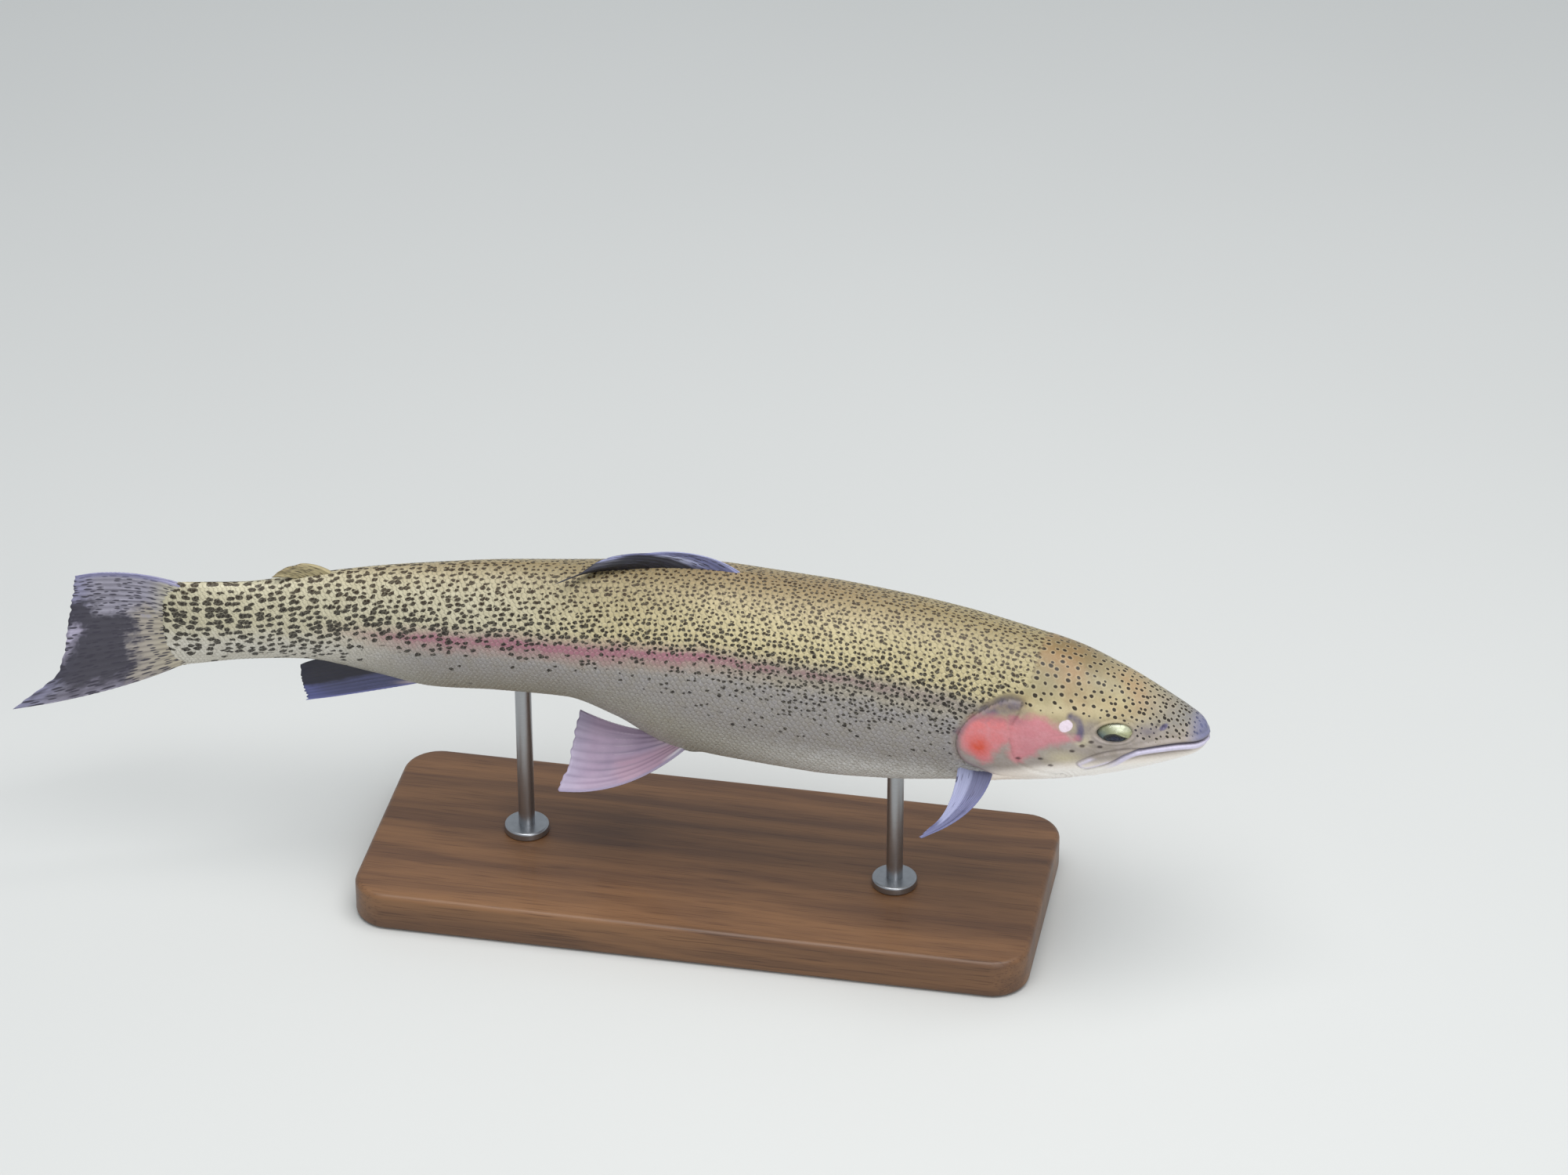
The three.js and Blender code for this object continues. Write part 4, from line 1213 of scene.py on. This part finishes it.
def ray_lines(shape, side):
    """Every fin ray and its branches as lines: points, edges, thickness and place on the web."""
    count, width = shape["count"], shape["width"]
    handles = smooth_rays(shape["rays"])
    lines = []
    for n in range(count):
        q = n / (count - 1)
        if n in (0, count - 1):
            lines.append((q, q, *RAY_PARTS["lead"]))
            continue
        lines.append((q, q, *RAY_PARTS["stem"]))
        for way in (-1, 1):
            fork = q + way * FORK_SPREAD / (count - 1)
            lines.append((q, fork, *RAY_PARTS["fork"]))
            for turn in (-1, 1):
                tip = fork + turn * TIP_SPREAD / (count - 1)
                lines.append((fork, tip, *RAY_PARTS["tip"]))
    points, edges, thick, web = [], [], [], []
    for start, end, low, high, girth in lines:
        steps = max(6, int((high - low) * RAY_STEPS))
        k = np.linspace(0, 1, steps)
        q = start + (end - start) * ramp(0, 0.45, k)
        reach = (low + (high - low) * k) * margin(q, count, shape["ragged"])
        centre = (fin_point(handles, q, reach, side)
                  + fin_normal(handles, q, reach, side) * fin_sway(q, reach)[:, None])
        joints = 1 + 0.16 * np.cos(2 * np.pi * reach * RAY_JOINTS) * (reach > 0.25)
        radius = width * girth * (1 - 0.35 * reach) * joints
        if high == 1.0:
            radius = radius * (1 - 0.7 * ramp(0.8, 1, k))
        first = len(points)
        points.extend(centre)
        edges.extend((first + i, first + i + 1) for i in range(steps - 1))
        thick.extend(radius * MM)
        web.extend(np.stack([q, reach, q * (count - 1)], -1))
    return np.array(points), edges, np.array(thick), np.array(web)


def ray_tree():
    """Gives each line of a fin's skeleton a round section of its own thickness."""
    tree = Tree("fin_rays", {"Sides": "Int", "Finish": "Material"})
    lines = tree.node("GeometryNodeMeshToCurve", inputs={0: tree.given["Geometry"]})
    ring = tree.node("GeometryNodeCurvePrimitiveCircle",
                     inputs={"Resolution": tree.given["Sides"], "Radius": 1.0})
    tubes = tree.node("GeometryNodeCurveToMesh", inputs={
        "Curve": lines, "Profile Curve": ring, "Scale": tree.named("thickness", "FLOAT"),
        "Fill Caps": True})
    tree.finish(tubes)
    return tree


def make_rays(tree, name, shape, side, finish):
    """The branched, jointed rays that stiffen one fin."""
    points, edges, thick, web = ray_lines(shape, side)
    lines = mesh_object("lines", bend(points), [], attributes={"thickness": thick, "web": web})
    lines.data.edges.add(len(edges))
    lines.data.edges.foreach_set("vertices", np.array(edges, np.int32).ravel())
    lines.data.update()
    rays = tree.grow(name, lines, {"Sides": RAY_SIDES, "Finish": finish})
    tidy_attributes(rays.data, ("web",))
    bpy.data.objects.remove(lines)
    return rays


# looks of each fin; its patches are (colour, share, front and rear q, inner and outer r)
FIN_LOOKS = {
    "dorsal_fin": {
        "root": "#8a8688", "web": "#6f7198", "edge": "#9da0c2", "dark": "#2a2838", "ray": "#8083a8",
        "lead": "#8f91b4", "rows": 8.0, "dots": 0.85, "lines": 0.3, "fleshy": (0.0, 0.12),
        # patches: a painted glint in pale lilac, then painted shade in black over the rear of the fin and
        # near its root
        "patches": [("#c6c9e2", 0.6, 0.20, 0.50, 0.25, 0.60), ("#15131a", 0.95, 0.30, 2, -1, 0.82),
                    ("#15131a", 0.95, 0.45, 2, -1, 2)]},
    "adipose_fin": {
        "root": "#b0a37c", "web": "#a99b74", "edge": "#8c7c58", "dark": "#2b2216", "ray": "#a99b74",
        "lead": "#a3956e", "rows": 4.0, "dots": 0.95, "lines": 0.0, "fleshy": (0.0, 0.2),
        "patches": []},
    "caudal_fin": {
        "root": "#c0b9a2", "web": "#9b97a5", "edge": "#8c8aaa", "dark": "#322e3c", "ray": "#aaa6b4",
        "lead": "#8280a4", "rows": 8.5, "dots": 0.9, "lines": 0.4, "fleshy": (0.06, 0.34),
        "slant": 0.24, "ragged": 0.5,
        "patches": [("#ada28c", 0.7, 0.42, 1.2, -1, 0.42), ("#302d38", 0.92, 0.50, 1.12, 0.40, 2),
                    ("#767080", 0.6, 1.06, 3, 0.12, 0.8), ("#c3bbd2", 0.85, 0.74, 0.92, 0.95, 2)]},
    "anal_fin": {
        "root": "#8b848c", "web": "#4e5176", "edge": "#5f639c", "dark": "#2b2a3c", "ray": "#5f6390",
        "lead": "#7376ac", "rows": 5.0, "dots": 0.0, "lines": 0.3, "fleshy": (0.0, 0.2),
        # patches: a pale front root, then painted shade in black over the upper rear part, next to the body
        "patches": [("#c4b5bb", 0.8, -1, 0.12, -1, 0.30), ("#1c1a22", 0.92, 0.42, 2, -1, 2)]},
    "pelvic_fin": {
        "root": "#c0a8b0", "web": "#a892a8", "edge": "#aca2b8", "dark": "#655870", "ray": "#b8a4b6",
        "lead": "#9a8fa8", "rows": 5.0, "dots": 0.0, "lines": 0.3, "fleshy": (0.0, 0.25),
        "patches": [("#b08b9c", 0.65, -1, 0.5, -1, 0.55), ("#ece6ee", 0.9, -1, 0.10, -1, 0.16)]},
    "pectoral_fin": {
        "root": "#85849c", "web": "#6d7090", "edge": "#777aa2", "dark": "#42415a", "ray": "#7b7ea2",
        "lead": "#6d7098", "rows": 6.0, "dots": 0.1, "lines": 0.25, "fleshy": (0.0, 0.2),
        "patches": [("#a3a7c6", 0.75, 0.58, 2, -1, 0.8), ("#3e3f60", 0.7, 0.12, 0.26, 0.5, 0.95),
                    ("#55536e", 0.6, 0.1, 0.6, -1, 0.10)]},
}
FIN_USUAL = {"slant": 0.0, "ragged": 0.12}


def fin_paint(kind, look, rays):
    """Paint of a fin's web, or of its rays."""
    paint = Paint(kind + ("_ray" if rays else "_web"))
    q, r, phase = paint.attribute("web").parts()
    blotch = paint.noise(paint.vector(phase * 0.35, r * 5.0), 1.0, 3.0, 0.6)
    streaks = paint.noise(paint.vector(phase * 1.6, r * 1.2), 1.0, 2.0)
    dark = look["dark"]
    ground = paint.over(
        paint.mix(r.rise(*look["fleshy"]), look["root"], look["ray" if rays else "web"]),
        (r.rise(0.75, 1.0) * 0.8, look["edge"]),
        ((blotch * 1.7 - 0.5).clamped() * 0.35, dark),
        ((streaks * 4.0 - 2.1).clamped() * 0.4, dark),
    )
    ragged = (blotch - 0.5) * look["ragged"]
    along, across = r + ragged, q + r * look["slant"] + ragged
    for code, share, front, rear, inner, outer in look["patches"]:
        here = across.rise(front - 0.06, front + 0.06) * across.fall(rear - 0.06, rear + 0.06)
        here = here * along.rise(inner - 0.08, inner + 0.08) * along.fall(outer - 0.08, outer + 0.08)
        ground = paint.mix(here * share, ground, code)
    between = (phase * (2 * math.pi)).wave()
    cells = paint.vector(phase * 2.0, r * look["rows"])
    cells = paint.moved(cells, paint.scaled(paint.noise(cells, 1.3, 2.0, output=1), (0.35, 0.35, 0)))
    ground = paint.over(
        ground,
        (between * between * streaks * (look["lines"] * 1.6), dark),
        (speckle(paint, cells, blotch * 0.2 + 0.16, look["dots"], 0.75) * 0.92, dark),
        (q.fall(0.012, 0.05) * 0.85, look["lead"]),
    )
    if rays:
        return paint.set(base_color=ground, roughness=0.5, coat_weight=0.08)
    paint.relief(between * 0.6 + blotch, 0.00015, 0.5)
    return paint.set(base_color=ground, roughness=blotch * 0.2 + 0.44, coat_weight=0.08)


def make_fins():
    """Every fin: its web in place of the solid one, and its rays."""
    tree = ray_tree()
    for kind, shape in FIN_SHAPES.items():
        look = {**FIN_USUAL, **FIN_LOOKS[kind]}
        web_finish = fin_paint(kind, look, rays=False)
        ray_finish = fin_paint(kind, look, rays=True)
        paired = kind in ("pelvic_fin", "pectoral_fin")
        sides = {"_right": -1, "_left": 1} if paired else {"": -1}
        for ending, side in sides.items():
            place(make_membrane(kind + ending + "_web", shape, side, web_finish), "fin", kind + ending)
            if kind != "adipose_fin":
                place(make_rays(tree, kind + ending + "_rays", shape, side, ray_finish), "fin")


def place(piece, slot, *nodes):
    """Fixes a finished piece to the model, in place of the solids it covers; the slot is not used."""
    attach(piece, "root")
    if nodes:
        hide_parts(*nodes)


# ---- eyes

PUPIL = {"rear": 4.4, "front": 4.6, "high": 2.5, "taper": 0.5, "drop": 1.6}
IRIS_DISH = 0.25
PUPIL_DEPTH = 0.25
BALL_TURNS, CORNEA_TURNS = 128, 72
BALL_RINGS = np.concatenate([np.linspace(0, 0.8, 52), np.linspace(0.82, 1, 16)])
CORNEA_RINGS = np.concatenate([np.linspace(0, 0.9, 24), np.linspace(0.92, 1, 10)])
CORNEA = {"over": 0.28, "thick": 0.14, "share": 0.985}


def eye_frame(side):
    """The eye's centre, and its directions back along the head, up, and out, on the straight fish."""
    turn = math.radians(EYE["turn"])
    centre = np.array([EYE["s"], side * EYE["side"], EYE["z"]])
    out = np.array([-math.sin(turn), side * math.cos(turn), 0])
    rear = np.array([math.cos(turn), side * math.sin(turn), 0])
    return centre, rear, np.array([0, 0, 1.0]), out


def eye_surface(side, rings, turns, height):
    """Places on a shape round the eye's own axis; height gives the way out at (rearward, up)."""
    centre, rear, up, out = eye_frame(side)
    share, angle = np.meshgrid(rings, np.linspace(0, 2 * np.pi, turns, endpoint=False), indexing="ij")
    across = share * np.cos(angle) * EYE["along"]
    upward = share * np.sin(angle) * EYE["high"]
    level = height(across, upward)
    points = centre + across[..., None] * rear + upward[..., None] * up + level[..., None] * out
    return points, np.stack([across, upward, pupil_reach(across, upward)], -1)


def ball_level(across, upward):
    """The eyeball's way out from the eye's middle plane."""
    share = np.hypot(across / EYE["along"], upward / EYE["high"])
    return EYE["across"] * np.sqrt(np.clip(1 - share ** 2, 0, 1))


def pupil_reach(across, upward):
    """How far out a place is from the pupil's centre, 1 at its rim: it comes to a point in front."""
    upward = upward + PUPIL["drop"]
    ahead = np.clip(-across / PUPIL["front"], 0, 1)
    length = np.where(across < 0, PUPIL["front"], PUPIL["rear"])
    return np.hypot(across / length, upward / (PUPIL["high"] * (1 - PUPIL["taper"] * ahead)))


def iris_level(across, upward):
    """The iris is dished behind the cornea and sinks into the pupil."""
    reach = pupil_reach(across, upward)
    dish = IRIS_DISH * fade(1.4, 2.4, reach) + PUPIL_DEPTH * fade(0.9, 1.08, reach)
    return ball_level(across, upward) - dish


def cornea_level(across, upward, inset=0.0):
    """The cornea's way out: a shell a little larger than the ball."""
    over = CORNEA["over"] - inset
    share = np.hypot(across / (EYE["along"] + over), upward / (EYE["high"] + over))
    return (EYE["across"] + over) * np.sqrt(np.clip(1 - share ** 2, 0, 1))


def closed_shape(name, front, back, turns, finish):
    """A closed body of rings, each from the middle outwards: its front and its back."""
    rows = []
    for near, far in zip(front, back):
        rings = np.concatenate([near[1:], far[:0:-1]])
        rows.append(np.concatenate([rings.reshape(-1, 3), [near[0].mean(0), far[0].mean(0)]]))
    points, discs = rows
    return finished_body(name, bend(points), tube_faces(len(rings), turns), finish,
                         attributes={"disc": discs})


def iris_paint():
    """The eyeball: a deep blue pupil with a dark ring of painted shadow, and a green-gold iris, palest above
    where a highlight is painted, and with painted shade round its edge.
    """
    paint = Paint("trout_iris")
    across, upward, reach = paint.attribute("disc").parts()
    rho = (across * across + upward * upward * 2.2) ** 0.5
    turn = upward.math("ARCTAN2", upward, across)
    threads = paint.noise(paint.vector(turn * 5.0, rho * 0.4), 1.6, 4.0, 0.7)
    clouds = paint.noise(paint.vector(across, upward), 0.5, 2.0)
    ground = paint.over(
        paint.mix(threads, "#8c8e68", "#c9cba0"),
        # painted highlight: the upper front of the iris near white
        (upward.rise(1.0, 4.0) * across.fall(-1.0, 5.0) * 0.7, "#e6e9cf"),
        (across.rise(-2.5, 3.5) * 0.55, "#6c6f58"),
        ((clouds * 3.0 - 1.4).clamped() * 0.6, "#6a6a52"),
        (across.rise(1.0, 6.0) * upward.fall(-1.0, 4.0) * 0.8, "#4c626c"),
        # painted shadow: a dark brown ring round the pupil, under the iris's edge
        (reach.near(1.14, 0.2) * 0.9, "#1e1815"),
        # painted shade: darker towards the eyeball's outer edge and along its top, under the rim of the
        # orbit
        ((rho.rise(7.8, 8.8) * 0.6).at_least(upward.rise(4.6, 5.2) * 0.7), "#4a4442"),
        (reach.fall(1.02, 1.14), "#0a0c12"),
        (reach.near(0.85, 0.25) * upward.fall(-2.4, -1.2) * 0.7, "#3a4c60"),
        (reach.fall(0.35, 0.8) * 0.9, "#0a1638"),
    )
    paint.relief(threads, 0.0001, 0.4)
    return paint.set(base_color=ground, roughness=0.4, metallic=0.12, specular_ior_level=0.3)


def cornea_paint():
    """Clear cornea: seen through, with a sharp gleam."""
    paint = Paint("trout_cornea")
    facing = paint.node("ShaderNodeLayerWeight", inputs={"Blend": 0.5}, output="Facing")
    gleam = facing ** 5.0 * 0.5 + 0.013
    clear = paint.node("ShaderNodeBsdfTransparent")
    gloss = paint.node("ShaderNodeBsdfGlossy", inputs={"Roughness": 0.03})
    both = paint.node("ShaderNodeMixShader", inputs={0: gleam, 1: clear, 2: gloss})
    paint.tree.links.new(both.socket, paint.tree.nodes["Material Output"].inputs["Surface"])
    return paint.material


def make_eyes():
    """Both eyes: a ball with a dished iris and a sunken pupil, and a clear cornea over it."""
    iris, clear = iris_paint(), cornea_paint()
    shell = CORNEA_RINGS * CORNEA["share"]
    for side, ending in ((-1, "right"), (1, "left")):
        front = eye_surface(side, BALL_RINGS, BALL_TURNS, iris_level)
        back = eye_surface(side, BALL_RINGS[:-1], BALL_TURNS, lambda a, u: -ball_level(a, u))
        ball = closed_shape(f"eyeball_{ending}", front, back, BALL_TURNS, iris)
        place(ball, "eye", f"eye_{ending}")
        front = eye_surface(side, shell, CORNEA_TURNS, cornea_level)
        back = eye_surface(side, shell[:-1], CORNEA_TURNS, lambda a, u: cornea_level(a, u, CORNEA["thick"]))
        place(closed_shape(f"cornea_{ending}", front, back, CORNEA_TURNS, clear), "eye")


# ---- the display stand

BASE = {"length": 330.0, "width": 130.0, "height": 20.0, "corner": 18.0, "bevel": 3.0,
        "corner_points": 10, "top_rings": (4.0, 14.9)}
ROUND_SIDES = 48
ROD = {"radius": 4.0, "at": (149, 334), "into_body": 14.0, "foot": 8.0, "middle": 60.0, "bevel": 0.4}
COLLAR = {"radius": 11.0, "height": 4.0, "bevel": 1.2, "over_base": 0.3, "foot_bevel": 0.3, "gap": 0.35}
SHARP_FROM = math.radians(40)


def base_outline(inset):
    """The base's rounded outline, drawn in by an inset."""
    corner = BASE["corner"] - inset
    reach = np.array([BASE["length"] / 2 - BASE["corner"], BASE["width"] / 2 - BASE["corner"]])
    outline = []
    for quarter, ways in enumerate([(1, 1), (-1, 1), (-1, -1), (1, -1)]):
        turn = np.pi / 2 * (quarter + np.linspace(0, 1, BASE["corner_points"]))
        outline.append(reach * ways + corner * np.column_stack([np.cos(turn), np.sin(turn)]))
    return np.concatenate(outline)


def layered(name, layers, finish):
    """A closed body from outlines laid one over another, as (outline, height) in millimetres."""
    sides = len(layers[0][0])
    rings = np.array([np.column_stack([outline, np.full(sides, height)]) for outline, height in layers])
    points = with_ends(rings) * MM
    obj = finished_body(name, points, tube_faces(len(layers), sides), finish)
    obj.data.set_sharp_from_angle(angle=SHARP_FROM)
    return obj


def turned(name, centre, profile, finish):
    """A body turned about an upright axis, from a profile of (radius, height)."""
    return layered(name, [(centre + circle(ROUND_SIDES) * radius, height) for radius, height in profile],
                   finish)


def wood_paint():
    """Dark varnished wood: long grain, pores along it and a little unevenness."""
    paint = Paint("stand_dark_wood")
    spot = paint.place()
    bowed = paint.noise(paint.scaled(spot, (2.0, 9.0, 9.0)), 1.0, 2.0)
    along = paint.scaled(spot, (6.0, 150.0, 150.0))
    along = paint.moved(along, paint.vector(0.0, bowed * 9.0, bowed * 9.0))
    bands = paint.noise(along, 0.55, 4.0, 0.6)
    pores = paint.noise(paint.scaled(spot, (35.0, 1500.0, 1500.0)), 1.0, 2.0)
    grain = paint.mix(bands.rise(0.3, 0.7), "#5b3d27", "#7d5838")
    grain = paint.shade(pores.rise(0.52, 0.7) * 0.5, grain, "#8a7058")
    paint.relief(pores, 0.00012, 0.4)
    return paint.set(base_color=grain, roughness=bands * 0.15 + 0.42, coat_weight=0.1)


def steel_paint():
    """Brushed steel."""
    paint = Paint("stand_steel")
    lines = paint.noise(paint.scaled(paint.place(), (300.0, 300.0, 9000.0)), 1.0, 2.0)
    tone = paint.mix(lines, "#9a9c9f", "#b4b6b9")
    paint.relief(lines, 0.00002, 0.3)
    return paint.set(base_color=tone, roughness=lines * 0.12 + 0.26, metallic=1.0)


def make_stand():
    """The base, two rods up into the belly, and a collar where each rod meets the base."""
    wood, steel = wood_paint(), steel_paint()
    bevel = BASE["bevel"]
    curve = np.linspace(0, np.pi / 2, 7)
    layers = [(base_outline(bevel * (1 - math.sin(a))), bevel * (1 - math.cos(a))) for a in curve]
    layers += [(base_outline(bevel * (1 - math.cos(a))), BASE["height"] - bevel * (1 - math.sin(a)))
               for a in curve]
    layers += [(base_outline(bevel + ring), BASE["height"]) for ring in BASE["top_rings"]]
    place(layered("stand_base_board", layers, wood), "stand_wood", "stand_base")
    radius, cut = ROD["radius"], ROD["bevel"]
    outer, rim, foot = COLLAR["radius"], COLLAR["bevel"], COLLAR["foot_bevel"]
    low = BASE["height"] + COLLAR["over_base"]
    high = low + COLLAR["height"]
    collar = [(outer - foot, low), (outer, low + foot), (outer, high - rim)]
    collar += [(outer - rim * (1 - math.cos(a)), high - rim * (1 - math.sin(a))) for a in curve[1:]]
    collar += [(radius + COLLAR["gap"], high)]
    for s, ending in zip(ROD["at"], ("front", "rear")):
        centre = bend(np.array([s, 0.0, 0.0]))[:2] / MM
        top = AXIS_HEIGHT + float(belly_at(s)) + ROD["into_body"]
        rod = [(radius - cut, ROD["foot"]), (radius, ROD["foot"] + cut), (radius, ROD["middle"]),
               (radius, top - cut), (radius - cut, top)]
        for part, shape, profile in (("rod", "bar", rod), ("collar", "ring", collar)):
            node = f"stand_{part}_{ending}"
            place(turned(f"{node}_{shape}", centre, profile, steel), "stand_steel", node)


# ---- assembling the model

def make_fish():
    """Skin, coat of scales, fins and eyes."""
    skin = make_skin(skin_paint())
    for coat in make_coat(skin, scale_paint()):
        place(coat, "skin")
    place(skin, "skin", "head", "lower_jaw", "maxilla_right", "maxilla_left", "gill_cover_right",
          "gill_cover_left", "trunk_front", "trunk_middle", "tail_stem")
    make_fins()
    make_eyes()


# ---- room, light and camera

FLOOR_REACH = 12.0
SKY = {"colour": (0.86, 0.93, 1.0, 1), "strength": 0.55}
# each light's place, size in metres and power in watts
SOFTBOXES = {"softbox_top": ((0.15, -0.25, 1.6), (1.6, 1.2), 26),
             "softbox_front": ((0.9, -1.6, 0.9), (0.9, 0.9), 7)}
LIT_POINT = (0, 0, 0.12)
# scale is in image points for each millimetre
VIEW = {"azimuth": 10.9, "elevation": 32.0, "distance": 2.6, "focal_px": 6968.0, "scale": 2.68}
IMAGE_SIZE = (2002, 1500)
VIEW_MIDDLE = {"s": 250.0, "column": 884.0, "row": 842.0}
SENSOR = 36.0
FAR_CLIP = 50.0


def make_room():
    """A plain pale floor and soft light from above."""
    paint = Paint("plain_floor")
    tone = paint.mix(paint.noise(paint.place(), 3.0, 2.0), "#c9c9c6", "#cdcdca")
    finish = paint.set(base_color=tone, roughness=0.9)
    corners = [(x * FLOOR_REACH, y * FLOOR_REACH, 0) for x, y in ((-1, -1), (1, -1), (1, 1), (-1, 1))]
    floor = mesh_object("floor", corners, [(0, 1, 2, 3)], smooth=False)
    floor.data.materials.append(finish)
    world = bpy.data.worlds.new("studio")
    bpy.context.scene.world = world
    world.use_nodes = True
    sky = world.node_tree.nodes["Background"]
    sky.inputs["Color"].default_value = SKY["colour"]
    sky.inputs["Strength"].default_value = SKY["strength"]
    for name, (at, size, power) in SOFTBOXES.items():
        light = bpy.data.lights.new(name, "AREA")
        light.shape = "RECTANGLE"
        light.size, light.size_y = size
        light.energy = power
        obj = linked(name, light)
        obj.location = at
        obj.rotation_euler = (Vector(LIT_POINT) - Vector(at)).to_track_quat("-Z", "Y").to_euler()


def make_camera():
    """Looks down on the right flank from a little ahead of the fish's middle."""
    azimuth, elevation = math.radians(VIEW["azimuth"]), math.radians(VIEW["elevation"])
    back = Vector((math.sin(azimuth) * math.cos(elevation), -math.cos(azimuth) * math.cos(elevation),
                   math.sin(elevation)))
    right = Vector((math.cos(azimuth), math.sin(azimuth), 0))
    up = back.cross(right)
    middle = Vector(bend(np.array([VIEW_MIDDLE["s"], 0.0, 0.0])))
    per_pixel = MM / VIEW["scale"]
    target = (middle - right * ((VIEW_MIDDLE["column"] - IMAGE_SIZE[0] / 2) * per_pixel)
              + up * ((VIEW_MIDDLE["row"] - IMAGE_SIZE[1] / 2) * per_pixel))
    camera = bpy.data.cameras.new("camera")
    camera.sensor_fit = "HORIZONTAL"
    camera.sensor_width = SENSOR
    camera.lens = VIEW["focal_px"] / IMAGE_SIZE[0] * SENSOR
    camera.clip_end = FAR_CLIP
    obj = linked("camera", camera)
    turned_to = Matrix((right, up, back)).transposed().to_4x4()
    obj.matrix_world = Matrix.Translation(target + back * VIEW["distance"]) @ turned_to
    bpy.context.scene.camera = obj
    bpy.context.scene.view_settings.view_transform = "Standard"


make_fish()
make_stand()
make_room()
make_camera()
